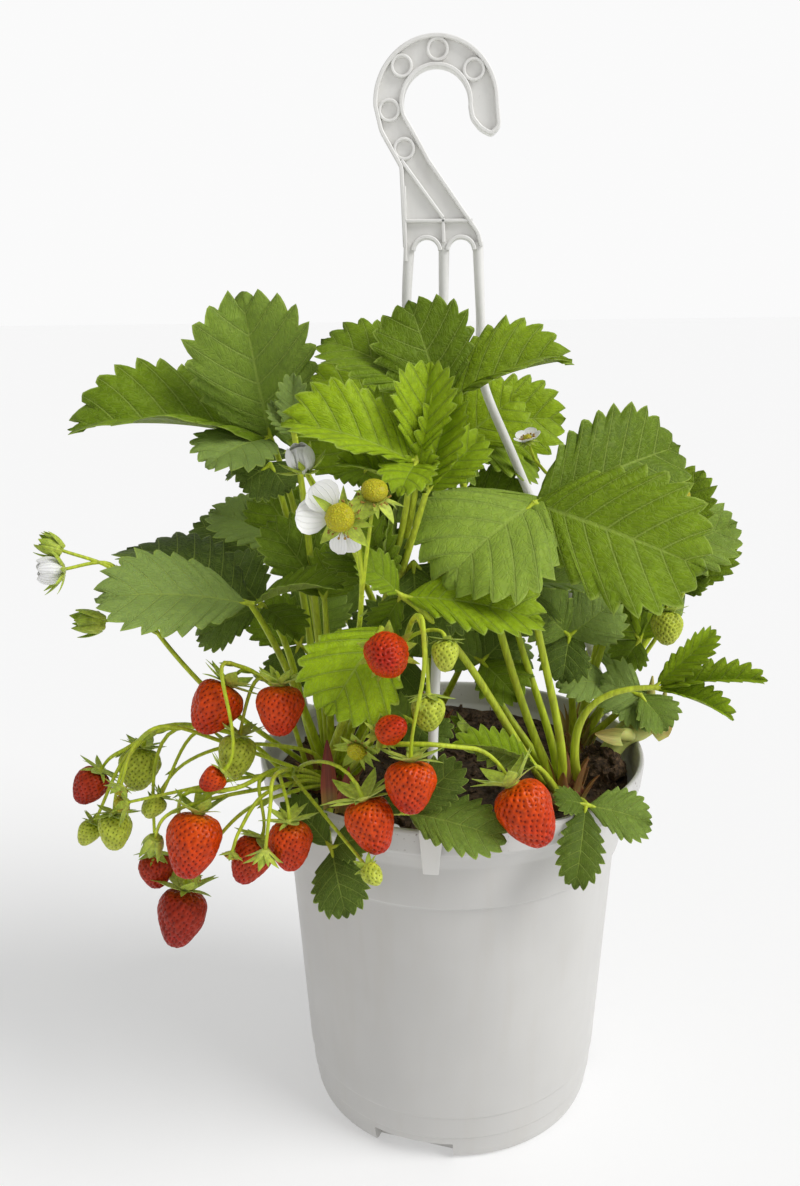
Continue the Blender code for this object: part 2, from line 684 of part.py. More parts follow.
def clip_shape(out):
    """A U-shaped clip that drops over the lip, as one bent strip."""
    top = POT_HEIGHT + SEAT_GAP
    outer = RIM_RADIUS + 0.4
    inner = RIM_RADIUS - 4.0
    thick = CLIP_THICKNESS
    section = [(outer + thick, top + thick), (outer + thick, top + thick - CLIP_DROP),
               (outer, top + thick - CLIP_DROP), (outer, top), (inner, top), (inner, top - 4.2),
               (inner - thick, top - 4.2), (inner - thick, top + thick)]
    sideways = np.cross((0, 0, 1), out) * CLIP_WIDTH / 2
    points = []
    for side in (-1, 1):
        points += [out * r + sideways * side + (0, 0, z) for r, z in section]
    return prism(points)


def make_hanger():
    """One moulding: the recessed hook plate, three legs and a clip on each."""
    cx, cz = HOOK_CENTRE
    outline = []
    for step in range(13):
        turn = math.radians(180.0 * step / 12)
        outline.append((cx + HOOK_OUTER_RADIUS * math.cos(turn), cz + HOOK_OUTER_RADIUS * math.sin(turn)))
    outline += [(-27.6, 420.5), (-19.8, 407.0), (-18.9, 377.0), (12.9, 377.0)]
    outline += [(11.6, 382.0), (-9.4, 410.0), (-15.8, 421.0)]
    for step in range(11):
        turn = math.radians(200.0 - 205.0 * step / 10)
        outline.append((cx + HOOK_EYE_RADIUS * math.cos(turn), cz + HOOK_EYE_RADIUS * math.sin(turn)))
    outline += [(8.6, 425.0), (12.4, 420.6), (16.4, 418.4), (19.0, 420.6)]
    count = len(outline)
    half = HOOK_THICKNESS / 2
    points = [(x, -half, z) for x, z in outline] + [(x, half, z) for x, z in outline]
    shapes = [prism(points)]
    for name, route in leg_routes().items():
        shapes.append(tube(route, [LEG_RADIUS] * len(route), 6))
        turn = math.radians(CLIP_ANGLES[name])
        out = np.array((math.cos(turn), math.sin(turn), 0.0))
        shapes.append(clip_shape(out))
    hanger = make("hanger", shapes, "white_plastic")
    return hanger


def clear_scene():
    for obj in list(bpy.data.objects):
        bpy.data.objects.remove(obj)


def main():
    clear_scene()
    make_pot()
    make_soil()
    make_hanger()
    make_crowns()
    for row in LEAVES:
        make_leaf(*row)
    for name, crown, knots, buds in TRUSSES:
        make_truss(name, crown, knots, buds)
    for name, _, _, centre, axis, diameter, length, ripe in BERRIES:
        make_berry(name, centre, axis, diameter, length, ripe)
    for name, _, _, centre, facing, diameter in FLOWERS:
        make_flower(name, centre, facing, diameter)


main()
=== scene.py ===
"""Looks of a strawberry plant fruiting in a white plastic hanging pot.

Lengths in the tables are millimetres. +Z is up and -Y is the front of the plant, as in the
frame. Each piece is made by its own operator, in the order that main() calls them.
"""

import math
from functools import cache

import bpy
import numpy as np
from mathutils import Matrix, Vector


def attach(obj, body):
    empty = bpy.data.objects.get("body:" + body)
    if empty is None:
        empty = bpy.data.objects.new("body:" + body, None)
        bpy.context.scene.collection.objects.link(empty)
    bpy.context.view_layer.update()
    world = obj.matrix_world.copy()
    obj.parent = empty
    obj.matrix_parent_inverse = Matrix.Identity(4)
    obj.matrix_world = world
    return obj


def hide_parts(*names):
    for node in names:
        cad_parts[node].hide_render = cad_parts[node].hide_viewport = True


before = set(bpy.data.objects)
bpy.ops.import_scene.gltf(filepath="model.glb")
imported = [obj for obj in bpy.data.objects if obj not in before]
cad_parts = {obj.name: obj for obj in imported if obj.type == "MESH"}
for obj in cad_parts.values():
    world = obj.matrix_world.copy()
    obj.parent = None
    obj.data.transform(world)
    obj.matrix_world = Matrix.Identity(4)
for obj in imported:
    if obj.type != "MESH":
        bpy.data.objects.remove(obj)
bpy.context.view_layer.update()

bl_info = {
    "name": "Potted strawberry plant",
    "version": (1, 0, 0),
    "blender": (4, 5, 0),
    "location": "3D View > Sidebar > Plant",
    "description": "Leaves, fruit, flowers, soil, pot and hanger around a packed frame",
    "category": "Object",
}

MM = 0.001

# ---- planting plan, as in the CAD ----
SOIL_LEVEL = 152.0
CROWNS = {
    "left": ((-52, -14), 11.0),
    "right": ((47, -27), 10.0),
    "edge": ((58, 25), 9.0),
    "back": ((-12, 42), 9.0),
}

# Which way the upper side of a blade looks.
FACINGS = {
    "up": (0.0, -0.15, 1.0),
    "rise": (0.0, -0.6, 0.8),
    "tilt": (0.0, -0.42, 0.9),
    "front": (0.0, -1.0, 0.35),
    "side": (-1.0, -0.4, 0.2),
}

# How a kind of leaflet looks: tone from dark 0 to lime 1, painted sheen 0 to 1 (a grey-green
# wash that stands in for light glancing off the blade), pleat depth as a share of the gap between
# veins, and cup, positive where the edges turn up.
KINDS = {
    "dark": (0.10, 0.14, 0.07, -0.10),
    # deep is lifted near mid and carries much painted sheen: painted light for light falling from the upper
    # left
    "deep": (0.42, 0.34, 0.07, -0.08),
    # olive is a darker green, partly the leaflets' own colour and partly painted shade
    "olive": (0.30, 0.02, 0.08, -0.08),
    "mid": (0.44, 0.03, 0.08, -0.08),
    "fresh": (0.58, 0.03, 0.09, -0.06),
    "pale": (0.80, 0.44, 0.08, -0.06),
    "bright": (0.80, 0.0, 0.10, -0.04),
    "young": (0.94, 0.0, 0.13, 0.05),
    "lime": (1.0, 0.0, 0.12, -0.08),
    "grey": (0.64, 0.85, 0.07, -0.05),
}

# name, crown, where the leaflets meet, then (tip, width, facing, fold in degrees, kind) for each
LEAVES = (
    ("arch_left", "left", (-73, -15, 304),
     (((-149, -35, 310), 64, "tilt", 42, "mid"), ((-80, -25, 361), 60, "front", 24, "deep"),
      ((-92, -50, 297), 38, "rise", 14, "grey"))),
    ("behind_arch", "back", (-67, 5, 296),
     (((-96, 3, 286), 30, "up", 14, "dark"), ((-70, 20, 325), 28, "front", 14, "deep"))),
    ("crest", "right", (-3, -38, 320),
     (((-16, -32, 357), 44, "front", 14, "olive"), ((45, -38, 335), 52, "tilt", 40, "fresh"),
      ((-50, -26, 343), 38, "rise", 20, "mid"))),
    ("bright_back", "back", (-5, 38, 303),
     (((-64, 36, 325), 44, "rise", 22, "bright"), ((52, 44, 305), 46, "front", 12, "bright"),
      ((15, 52, 325), 36, "front", 14, "mid"))),
    ("young", "left", (-12, -74, 302),
     (((-58, -82, 317), 44, "rise", 34, "young"), ((-7, -64, 336), 32, "front", 42, "young"),
      ((-17, -96, 294), 24, "rise", 20, "young"))),
    ("big_right", "right", (31, -50, 283),
     (((93, -8, 299), 53, "front", 12, "olive"), ((94, -62, 260), 62, "front", 12, "mid"),
      ((-3, -75, 258), 70, "rise", 12, "pale"))),
    ("right_back", "edge", (86, 32, 240),
     (((112, 32, 283), 40, "rise", 18, "fresh"), ((132, 45, 257), 38, "front", 18, "deep"),
      ((89, 10, 225), 30, "rise", 14, "dark"))),
    ("rim_right", "right", (83, -30, 203),
     (((127, -35, 208), 19, "rise", 56, "bright"), ((112, -45, 195), 18, "tilt", 52, "bright"),
      ((108, -24, 226), 20, "front", 52, "bright"))),
    ("long_mid", "right", (-18, -72, 253),
     (((34, -76, 244), 36, "rise", 26, "bright"), ((-27, -62, 236), 18, "front", 34, "fresh"),
      ((-34, -78, 268), 20, "rise", 24, "fresh"))),
    ("under_mid", "right", (24, -18, 243),
     (((68, -24, 241), 36, "up", 22, "deep"), ((-9, -22, 232), 32, "rise", 14, "dark"),
      ((46, 4, 226), 28, "rise", 14, "dark"))),
    ("folded_mid", "left", (-22, -56, 252),
     (((-32, -46, 289), 34, "side", 50, "mid"), ((-47, -40, 265), 28, "rise", 30, "fresh"))),
    ("grey_left", "left", (-77, -54, 245),
     (((-130, -76, 253), 46, "rise", 14, "grey"), ((-39, -68, 255), 24, "up", 36, "fresh"),
      ((-132, -26, 261), 46, "up", 20, "dark"))),
    ("low_left", "left", (-76, -34, 239),
     (((-103, -38, 225), 28, "rise", 16, "deep"), ((-59, -50, 229), 22, "up", 30, "mid"),
      ((-101, -5, 251), 34, "rise", 14, "dark"))),
    ("far_left", "back", (-79, 20, 244),
     (((-117, 26, 261), 32, "rise", 20, "dark"), ((-105, 44, 268), 32, "rise", 16, "grey"),
      ((-68, 30, 275), 30, "front", 14, "deep"))),
    ("lime", "left", (-25, -80, 243),
     (((-44, -95, 215), 44, "front", 8, "lime"),)),
    ("rim_front", "left", (-17, -90, 176),
     (((20, -100, 170), 26, "rise", 12, "deep"), ((4, -90, 196), 20, "front", 14, "dark"),
      ((-26, -80, 176), 12, "rise", 10, "dark"))),
    ("rim_left", "left", (-45, -84, 158),
     (((-38, -100, 138), 24, "front", 12, "dark"), ((-29, -88, 165), 20, "rise", 12, "dark"),
      ((-64, -70, 172), 18, "rise", 12, "dark"))),
    ("corner", "right", (52, -66, 168),
     (((46, -88, 144), 20, "front", 14, "dark"), ((78, -66, 160), 25, "rise", 12, "deep"),
      ((39, -72, 173), 14, "rise", 10, "dark"))),
    ("grey_back", "edge", (75, 24, 185),
     (((47, 10, 190), 30, "rise", 16, "grey"), ((89, 2, 172), 24, "rise", 14, "grey"),
      ((84, 54, 204), 24, "rise", 14, "grey"))),
    ("back_right", "edge", (68, 62, 198),
     (((112, 68, 217), 38, "rise", 16, "deep"), ((52, 72, 226), 30, "front", 14, "mid"),
      ((46, 60, 180), 26, "rise", 14, "dark"))),
    ("back_mid", "back", (9, 14, 208),
     (((-24, 10, 224), 34, "rise", 14, "deep"), ((36, 8, 196), 30, "rise", 14, "grey"),
      ((16, 34, 243), 34, "front", 12, "dark"))),
    ("back_left", "back", (-54, 52, 202),
     (((-80, 66, 203), 32, "rise", 16, "mid"), ((-58, 68, 236), 34, "front", 12, "deep"),
      ((-30, 50, 183), 28, "rise", 16, "dark"))),
)

# leaves whose stalk rises first and then bends over to the right
ARCHED = ("rim_right",)

# Small leaves between the large ones, in the same form. They grow from their crown too.
EXTRA_LEAVES = (
    ("under_young", "left", (-14, -58, 262),
     (((-12, -70, 229), 30, "front", 12, "dark"), ((12, -48, 236), 30, "front", 12, "dark"))),
    ("behind_right", "edge", (52, 6, 214),
     (((30, -6, 236), 32, "front", 14, "deep"), ((72, 2, 232), 34, "front", 14, "grey"),
      ((48, -6, 196), 26, "rise", 14, "dark"))),
    ("fill_left", "back", (-66, -5, 213),
     (((-84, 0, 231), 30, "front", 18, "mid"), ((-52, 5, 238), 34, "front", 16, "deep"),
      ((-73, -15, 196), 26, "rise", 14, "dark"))),
    ("fill_mid", "back", (-20, 0, 207),
     (((-43, 0, 226), 36, "front", 14, "dark"), ((-2, 5, 228), 36, "front", 16, "mid"),
      ((-25, -15, 189), 30, "rise", 14, "dark"))),
    ("fill_right", "right", (13, -15, 209),
     (((-2, -15, 218), 24, "front", 14, "deep"), ((28, -30, 197), 30, "rise", 16, "mid"),
      ((27, -5, 220), 28, "front", 14, "dark"))),
    ("high_back", "back", (5, 25, 298),
     (((30, 30, 317), 42, "front", 16, "bright"), ((40, 35, 283), 40, "rise", 16, "fresh"),
      ((-9, 10, 283), 38, "front", 12, "mid"))),
    ("behind_flower", "back", (-65, 5, 254),
     (((-106, 10, 269), 32, "rise", 16, "grey"), ((-83, 15, 279), 34, "front", 14, "mid"),
      ((-48, 5, 275), 34, "front", 14, "deep"))),
    ("upright_mid", "left", (-22, -64, 252),
     (((-31, -66, 284), 20, "front", 34, "fresh"), ((-17, -62, 290), 20, "side", 48, "mid"))),
    ("olive_mid", "left", (-50, -40, 243),
     (((-72, -36, 274), 34, "rise", 30, "mid"), ((-41, -42, 265), 26, "front", 20, "fresh"))),
    ("right_light", "edge", (86, 25, 206),
     (((74, 30, 224), 26, "front", 20, "fresh"), ((95, 30, 224), 24, "front", 24, "bright"),
      ((76, 15, 196), 22, "rise", 14, "mid"))),
    ("right_far", "edge", (108, 45, 225),
     (((128, 48, 254), 32, "front", 22, "fresh"), ((119, 40, 233), 26, "rise", 26, "mid"),
      ((95, 40, 221), 30, "front", 14, "grey"))),
    ("narrow_mid", "left", (-21, -54, 252),
     (((-21, -60, 294), 26, "side", 34, "mid"), ((-32, -60, 283), 24, "front", 30, "deep"))),
    ("pale_tuft", "left", (-58, -50, 308),
     (((-57, -54, 332), 15, "front", 34, "grey"), ((-66, -53, 322), 12, "front", 38, "grey"))),
    ("young_right", "left", (-9, -69, 290),
     (((1, -66, 327), 26, "front", 42, "young"), ((12, -62, 310), 24, "front", 36, "bright"),
      ((-17, -78, 303), 20, "rise", 34, "young"))),
    ("young_low", "left", (-15, -71, 292),
     (((-40, -80, 303), 26, "tilt", 36, "young"), ((-4, -80, 303), 20, "rise", 36, "young"))),
    ("behind_young", "back", (-34, -16, 292),
     (((-58, -22, 318), 44, "front", 16, "bright"), ((-12, -18, 322), 40, "front", 14, "fresh"),
      ((-36, -26, 286), 34, "rise", 14, "mid"))),
    ("low_front", "right", (35, -50, 176),
     (((2, -64, 205), 20, "side", 58, "fresh"), ((0, -72, 195), 19, "tilt", 54, "bright"))),
    ("dark_hem", "left", (-70, -36, 296),
     (((-82, -40, 288), 26, "front", 10, "dark"), ((-62, -42, 286), 24, "front", 10, "dark"))),
    ("small_dark", "left", (-16, -60, 200),
     (((-3, -75, 194), 24, "rise", 16, "dark"), ((-25, -60, 208), 16, "front", 20, "deep"))),
    ("rim_shade", "edge", (85, 10, 185),
     (((67, 15, 190), 30, "front", 14, "grey"), ((96, 0, 172), 26, "rise", 20, "deep"))),
    ("screen_back", "back", (4, 30, 262),
     (((34, 24, 276), 38, "front", 12, "mid"), ((-30, 24, 282), 36, "front", 12, "deep"),
      ((4, 18, 238), 34, "front", 12, "dark"))),
    ("screen_right", "edge", (72, 34, 222),
     (((100, 24, 244), 34, "front", 14, "mid"), ((60, 20, 250), 32, "front", 14, "deep"))),
)

# name, crown, the main stalk's route after it leaves the crown, then side twigs:
# (place along the stalk 0..1, end, diameter, what it bears)
TRUSSES = (
    ("low", "left", ((-66, -64, 181), (-80, -84, 182), (-98, -82, 180)),
     ((0.35, (-27, -113, 163), 9, "fruitlet"),)),
    ("left_mid", "left", ((-66, -50, 204), (-74, -64, 220), (-82, -72, 227)), ()),
    ("left_fan", "left", ((-85, -48, 188), (-113, -50, 192), (-134, -52, 182)),
     ((0.85, (-148, -56, 148), 11, "fruitlet"), (0.6, (-117, -66, 165), 10, "fruitlet"))),
    ("high_left", "left", ((-85, -42, 193), (-98, -50, 210), (-115, -50, 232), (-130, -46, 256)),
     ((0.96, (-153, -54, 268), 10, "bud"), (1.0, (-152, -58, 259), 10, "petals"),
      (0.8, (-138, -62, 240), 12, "bud"))),
    ("centre", "left", ((-22, -56, 214), (-14, -92, 248), (-10, -101, 253), (-9, -105, 246)),
     ((0.5, (-33, -92, 202), 15, "calyx"),)),
    ("cross", "left", ((-29, -86, 199), (-11, -98, 206), (7, -94, 203)), ()),
    ("flowers", "left", ((-35, -70, 232), (-31, -88, 260), (-31, -94, 277)),
     ((0.8, (-25, -102, 296), 11, "spent"),)),
    ("back", "edge", ((95, 34, 204), (103, 8, 240), (96, -3, 262)),
     ((1.0, (94, -4, 277), 12, "spent"),)),
)

# crown, route, diameter and kind of what a thin stalk without a berry bears at its end
LOOSE_STALKS = (
    ("left", ((-60, -55, 174), (-78, -65, 178), (-105, -70, 174), (-126, -70, 169)), 15, "calyx"),
    ("left", ((-65, -50, 176), (-88, -60, 190), (-110, -65, 199), (-122, -68, 192), (-128, -70, 176)), 11,
     "calyx"),
    ("left", ((-60, -60, 174), (-71, -80, 177), (-78, -90, 168), (-81, -92, 160)), 8, "calyx"),
    ("left", ((-59, -60, 179), (-64, -90, 190), (-65, -98, 180), (-67, -101, 164)), 15, "hanging"),
    ("left", ((-66, -60, 172), (-89, -80, 176), (-106, -87, 172), (-113, -84, 158)), 9, "bud"),
    ("left", ((-61, -60, 170), (-78, -72, 168), (-91, -77, 156), (-100, -74, 140)), 7, "calyx"),
    ("left", ((-58, -40, 178), (-84, -52, 186), (-106, -58, 180), (-122, -56, 160)), 8, "fruitlet"),
)

# name, truss, place along the stalk, centre, axis from calyx to tip, diameter, length,
# ripeness 0..1, how far the sepals stand up from the fruit in degrees
BERRIES = (
    ("ripe_1", "left_mid", 0.9, (-90, -70, 208), (-5, -3, -8), 20, 21, 0.86, 10),
    ("ripe_2", "left_mid", 0.7, (-63, -80, 211), (0, -2, -10), 18, 19, 0.84, 20),
    ("ripe_3", "centre", 0.6, (-22, -102, 240), (0, -10, 2), 16, 16, 0.88, -14),
    ("ripe_4", "centre", 0.4, (-20, -101, 213), (6, -5, 5), 11, 12, 0.86, 0),
    ("ripe_5", "centre", 1.0, (-14, -104, 192), (0, -2, -10), 18, 19, 0.92, 14),
    ("ripe_6", "low", 0.3, (-28, -102, 176), (3, -1, -10), 18, 21, 0.92, 12),
    ("ripe_7", "cross", 1.0, (28, -96, 178), (5, -2, -9), 21, 25, 0.92, 24),
    ("ripe_8", "low", 0.5, (-59, -93, 163), (0, -1, -10), 16, 19, 0.94, 10),
    ("ripe_9", "low", 0.65, (-76, -84, 152), (-4, -2, -8), 16, 19, 0.96, -10),
    ("ripe_10", "low", 0.85, (-97, -88, 160), (-2, -3, -10), 21, 25, 0.9, 24),
    ("ripe_11", "low", 0.95, (-109, -68, 117), (-2, -2, -10), 20, 24, 1.0, 20),
    ("ripe_12", "left_fan", 0.7, (-119, -62, 135), (0, -1, -10), 14, 15, 0.98, -20),
    ("ripe_13", "left_mid", 1.0, (-88, -88, 187), (-7, -2, -5), 10, 10, 0.84, 0),
    ("ripe_14", "left_fan", 1.0, (-148, -50, 166), (-5, -2, -7), 14, 16, 0.98, 0),
    ("green_1", "left_mid", 0.8, (-82, -72, 189), (-2, -2, -10), 15, 17, 0.1, 16),
    ("green_2", "left_fan", 0.5, (-128, -46, 172), (-2, -2, -10), 17, 18, 0.06, 10),
    ("green_3", "left_fan", 0.8, (-134, -64, 153), (0, -2, -10), 14, 15, 0.12, -4),
    ("green_4", "centre", 0.9, (-8, -92, 215), (0, -2, -10), 12, 13, 0.1, -24),
    ("green_5", "centre", 0.75, (-2, -94, 237), (0, -4, -10), 10, 11, 0.14, -10),
    ("green_6", "back", 0.5, (95, 10, 216), (0, -4, -10), 14, 15, 0.1, 0),
)

# name, truss, place along the stalk, centre, the way it faces, diameter over the petals
FLOWERS = (
    ("open", "flowers", 1.0, (-35, -108, 288), (-2, -9, 4), 26),
    ("opening", "flowers", 0.9, (-53, -72, 303), (-2, -3, 9), 10),
    ("rear", "back", 0.9, (31, -10, 302), (-2, -3, 9), 11),
)


# ---- settings ----
def colour_value(name, description, default):
    return bpy.props.FloatVectorProperty(
        name=name, description=description, default=default, size=3, min=0.0, max=1.0, subtype="COLOR")


def length_value(name, description, default):
    return bpy.props.FloatProperty(
        name=name, description=description, default=default, min=0.0, subtype="DISTANCE", unit="LENGTH")


def share_value(name, description, default):
    return bpy.props.FloatProperty(name=name, description=description, default=default, min=0.0, max=1.0)


class PlantLeafSettings(bpy.types.PropertyGroup):
    """Shape and colours of the leaves."""

    thickness: length_value("Thickness", "Thickness of a leaflet between its veins", 0.00040)
    breadth: share_value("Breadth", "Breadth of a leaflet as a share of its width in the plan", 0.82)
    petiole_radius: length_value("Petiole radius", "Radius of a leaf stalk at its foot", 0.0019)
    tooth_depth: share_value("Tooth depth", "Depth of a tooth as a share of its width", 0.52)
    dark: colour_value("Dark", "Colour of the oldest leaflets", (0.050, 0.088, 0.004))
    middle: colour_value("Middle", "Colour of grown leaflets", (0.140, 0.225, 0.005))
    bright: colour_value("Bright", "Colour of young leaflets", (0.300, 0.440, 0.008))
    vein: colour_value("Vein", "Colour of the veins and the margin", (0.340, 0.450, 0.080))
    # painted sheen: this greyish green stands in for light glancing off glossy leaflets
    bloom: colour_value("Bloom", "Greyish green of leaflets with bloom", (0.270, 0.370, 0.125))
    stalk: colour_value("Stalk", "Green of petioles and fruit stalks", (0.480, 0.590, 0.026))


class PlantFruitSettings(bpy.types.PropertyGroup):
    """Shape and colours of the berries."""

    seed_gap: length_value("Seed gap", "Distance between two seeds on a large berry", 0.0022)
    pit_depth: length_value("Pit depth", "How deep a seed's pit is", 0.00090)
    ripe: colour_value("Ripe", "Colour of a ripe berry", (0.640, 0.066, 0.002))
    # painted shade: the dark red deep in the pits stands in for the shade there
    pit: colour_value("Ripe pit", "Colour deep in a ripe berry's pits", (0.200, 0.008, 0.003))
    unripe: colour_value("Unripe", "Colour of an unripe berry", (0.480, 0.550, 0.055))
    seed: colour_value("Seed", "Colour of a ripe berry's seeds", (0.240, 0.018, 0.004))


class PlantFlowerSettings(bpy.types.PropertyGroup):
    """Colours of the flowers."""

    petal: colour_value("Petal", "Colour of the petals", (0.940, 0.940, 0.900))
    heart: colour_value("Heart", "Colour of the cone in the middle", (0.560, 0.520, 0.004))
    anther: colour_value("Anther", "Colour of the anthers", (0.480, 0.300, 0.040))


class PlantPotSettings(bpy.types.PropertyGroup):
    """Sizes and colour of the pot and its hanger."""

    plastic: colour_value("Plastic", "Colour of the pot", (0.590, 0.582, 0.562))
    hanger: colour_value("Hanger", "Colour of the hanger", (0.840, 0.832, 0.805))
    roughness: share_value("Roughness", "Roughness of the plastic", 0.36)
    sides: bpy.props.IntProperty(name="Sides", description="Sides of the pot's wall", default=160, min=24)


class PlantSoilSettings(bpy.types.PropertyGroup):
    """Colour and crumbs of the potting soil."""

    soil: colour_value("Soil", "Colour of the damp soil", (0.062, 0.040, 0.022))
    bark: colour_value("Bark", "Colour of the bark fibres", (0.150, 0.088, 0.046))
    crumbs: bpy.props.FloatProperty(
        name="Crumbs", description="Crumbs on each square centimetre", default=4.5, min=0.0)


class PlantStageSettings(bpy.types.PropertyGroup):
    """Floor, light and camera."""

    floor: colour_value("Floor", "Colour of the floor", (0.630, 0.630, 0.630))
    backdrop: bpy.props.FloatProperty(
        name="Backdrop", description="Brightness of the empty background", default=0.958, min=0.0)
    fill: bpy.props.FloatProperty(name="Fill", description="Soft light from all sides", default=0.47, min=0.0)
    key: bpy.props.FloatProperty(name="Key", description="Light from the upper right", default=2.3, min=0.0)
    lens: length_value("Lens", "Focal length for a 36 mm sensor side", 0.03272)


# ---- small helpers ----
def vec(point):
    """The point as an array."""
    return np.asarray(point, float)


def unit(vector):
    """The vector, one long."""
    vector = vec(vector)
    return vector / np.linalg.norm(vector)


def across(vector, direction):
    """The part of vector at right angles to direction, as a unit vector."""
    direction = unit(direction)
    return unit(vec(vector) - direction * (vec(vector) @ direction))


def units(rows):
    """Each row as a unit vector."""
    return rows / np.linalg.norm(rows, axis=1)[:, None]


def spot_on(turn):
    """The point of the unit circle at an angle."""
    return np.array((math.cos(turn), math.sin(turn)))


def circle(sides):
    """Angles of the corners of a polygon."""
    return np.linspace(0, 2 * math.pi, sides, endpoint=False)


def spokes(turns, first, second):
    """Unit vectors at these angles in the plane of two directions."""
    return np.multiply.outer(np.cos(turns), first) + np.multiply.outer(np.sin(turns), second)


def running(steps):
    """The sum of the steps before each place, from 0 to the whole."""
    return np.concatenate(([0.0], np.cumsum(steps)))


def lengths_along(route):
    """How far along a route each of its points lies."""
    return running(np.linalg.norm(np.diff(route, axis=0), axis=1))


def taper(count, places, radii):
    """Radii at count points along a stem, from those given at places from 0 to 1."""
    return np.interp(np.linspace(0, 1, count), places, radii)


def dice(name):
    """A random generator that is always the same for a name."""
    return np.random.default_rng(sum(ord(letter) * (place + 7) for place, letter in enumerate(name)))


def bezier(start, start_pull, end_pull, end, count):
    """Points along a cubic curve, ends included."""
    t = np.linspace(0, 1, count)[:, None]
    return (vec(start) * (1 - t) ** 3 + vec(start_pull) * 3 * t * (1 - t) ** 2
            + vec(end_pull) * 3 * t * t * (1 - t) + vec(end) * t ** 3)


def smooth_route(knots, per_span):
    """Points along a Catmull-Rom curve through the knots, in two or three dimensions."""
    knots = [vec(k) for k in knots]
    padded = [2 * knots[0] - knots[1]] + knots + [2 * knots[-1] - knots[-2]]
    result = []
    for index in range(1, len(padded) - 2):
        before, here, there, after = padded[index - 1:index + 3]
        for step in range(per_span):
            t = step / per_span
            result.append(0.5 * (2 * here + (there - before) * t
                                 + (2 * before - 5 * here + 4 * there - after) * t * t
                                 + (3 * here - before - 3 * there + after) * t ** 3))
    result.append(knots[-1])
    return np.array(result)


def along(route, place):
    """The point at a fraction of a route's length, and the direction there."""
    steps = np.diff(route, axis=0)
    lengths = np.linalg.norm(steps, axis=1)
    reached = running(lengths)
    index = min(int(np.searchsorted(reached, place * reached[-1], side="right")) - 1, len(steps) - 1)
    share = min((place * reached[-1] - reached[index]) / lengths[index], 1.0)
    return route[index] + steps[index] * share, unit(steps[index])


def ease(x, low, high):
    """0 below low, 1 above high, smooth in between."""
    t = np.clip((np.asarray(x, float) - low) / (high - low), 0, 1)
    return t * t * (3 - 2 * t)


def settings():
    """The plant's settings, as the panel shows them."""
    return bpy.context.scene.plant


# ---- shapes ----
VALUES = ("across", "vein", "tone", "bloom")


class Shape:
    """A piece in the making: points in millimetres, faces with their materials, and four
    values at each point that its materials read."""

    def __init__(self):
        self.points = []
        self.values = []
        self.faces = []
        self.skins = []
        self.materials = []
        self.count = 0

    def add(self, points, faces, material, **values):
        """Adds points with their values, and faces between them."""
        block = np.zeros((len(points), len(VALUES)))
        for name, value in values.items():
            block[:, VALUES.index(name)] = value
        self.points.append(vec(points))
        self.values.append(block)
        self.count += len(points)
        self.cover(faces, material, self.count - len(points))

    def cover(self, faces, material, first):
        """Adds faces of one material whose corners are counted from the point first."""
        if material not in self.materials:
            self.materials.append(material)
        self.faces.extend([tuple(first + corner for corner in face) for face in faces])
        self.skins.extend([self.materials.index(material)] * len(faces))

    def add_mesh(self, mesh, place=Matrix()):
        """Adds a mesh made in metres at its own origin, moved by a matrix in millimetres."""
        count = len(mesh.vertices)
        flat = np.zeros(count * 3)
        mesh.vertices.foreach_get("co", flat)
        turn = np.array(place)
        points = (flat.reshape(-1, 3) / MM) @ turn[:3, :3].T + turn[:3, 3]
        block = np.zeros((count, len(VALUES)))
        for column, name in enumerate(VALUES):
            found = mesh.attributes.get(name)
            if found is not None:
                line = np.zeros(count)
                found.data.foreach_get("value", line)
                block[:, column] = line
        for material in mesh.materials:
            if material not in self.materials:
                self.materials.append(material)
        skins = [self.materials.index(material) for material in mesh.materials]
        for face in mesh.polygons:
            self.faces.append(tuple(self.count + corner for corner in face.vertices))
            self.skins.append(skins[face.material_index])
        self.points.append(points)
        self.values.append(block)
        self.count += count

    def to_mesh(self, name, sharp=50):
        """The piece as a mesh in metres, smooth but for edges sharper than so many degrees."""
        mesh = bpy.data.meshes.new(name)
        mesh.from_pydata((np.concatenate(self.points) * MM).tolist(), [], self.faces)
        for material in self.materials:
            mesh.materials.append(material)
        mesh.polygons.foreach_set("material_index", self.skins)
        block = np.concatenate(self.values)
        for column, value in enumerate(VALUES):
            line = mesh.attributes.new(value, "FLOAT", "POINT")
            line.data.foreach_set("value", block[:, column].astype(np.float32))
        mesh.shade_smooth()
        mesh.set_sharp_from_angle(angle=math.radians(sharp))
        return mesh

    def to_object(self, name, sharp=50):
        """The piece as an object of the scene."""
        obj = bpy.data.objects.new(name, self.to_mesh(name, sharp))
        bpy.context.scene.collection.objects.link(obj)
        return obj


def show(obj, slot, *nodes):
    """Puts a finished piece on the frame, in place of the CAD nodes that it stands for."""
    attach(obj, "root")
    if nodes:
        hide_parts(*nodes)
    return obj


def node_points(name):
    """The corners of a CAD node, in millimetres."""
    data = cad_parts[name].data
    flat = np.zeros(len(data.vertices) * 3)
    data.vertices.foreach_get("co", flat)
    return flat.reshape(-1, 3) / MM


def loft(rings, closed_ends=True):
    """A skin over rings of equal count, each ring running anticlockwise seen from its end."""
    rings = [vec(ring) for ring in rings]
    sides = len(rings[0])
    points = np.concatenate(rings)
    faces = []
    for index in range(len(rings) - 1):
        low = index * sides
        for step in range(sides):
            after = (step + 1) % sides
            faces.append((low + step, low + after, low + sides + after, low + sides + step))
    if closed_ends:
        points = np.vstack((points, rings[0].mean(0), rings[-1].mean(0)))
        first, last = len(points) - 2, len(points) - 1
        low = (len(rings) - 1) * sides
        for step in range(sides):
            after = (step + 1) % sides
            faces.append((first, after, step))
            faces.append((last, low + step, low + after))
    return points, faces


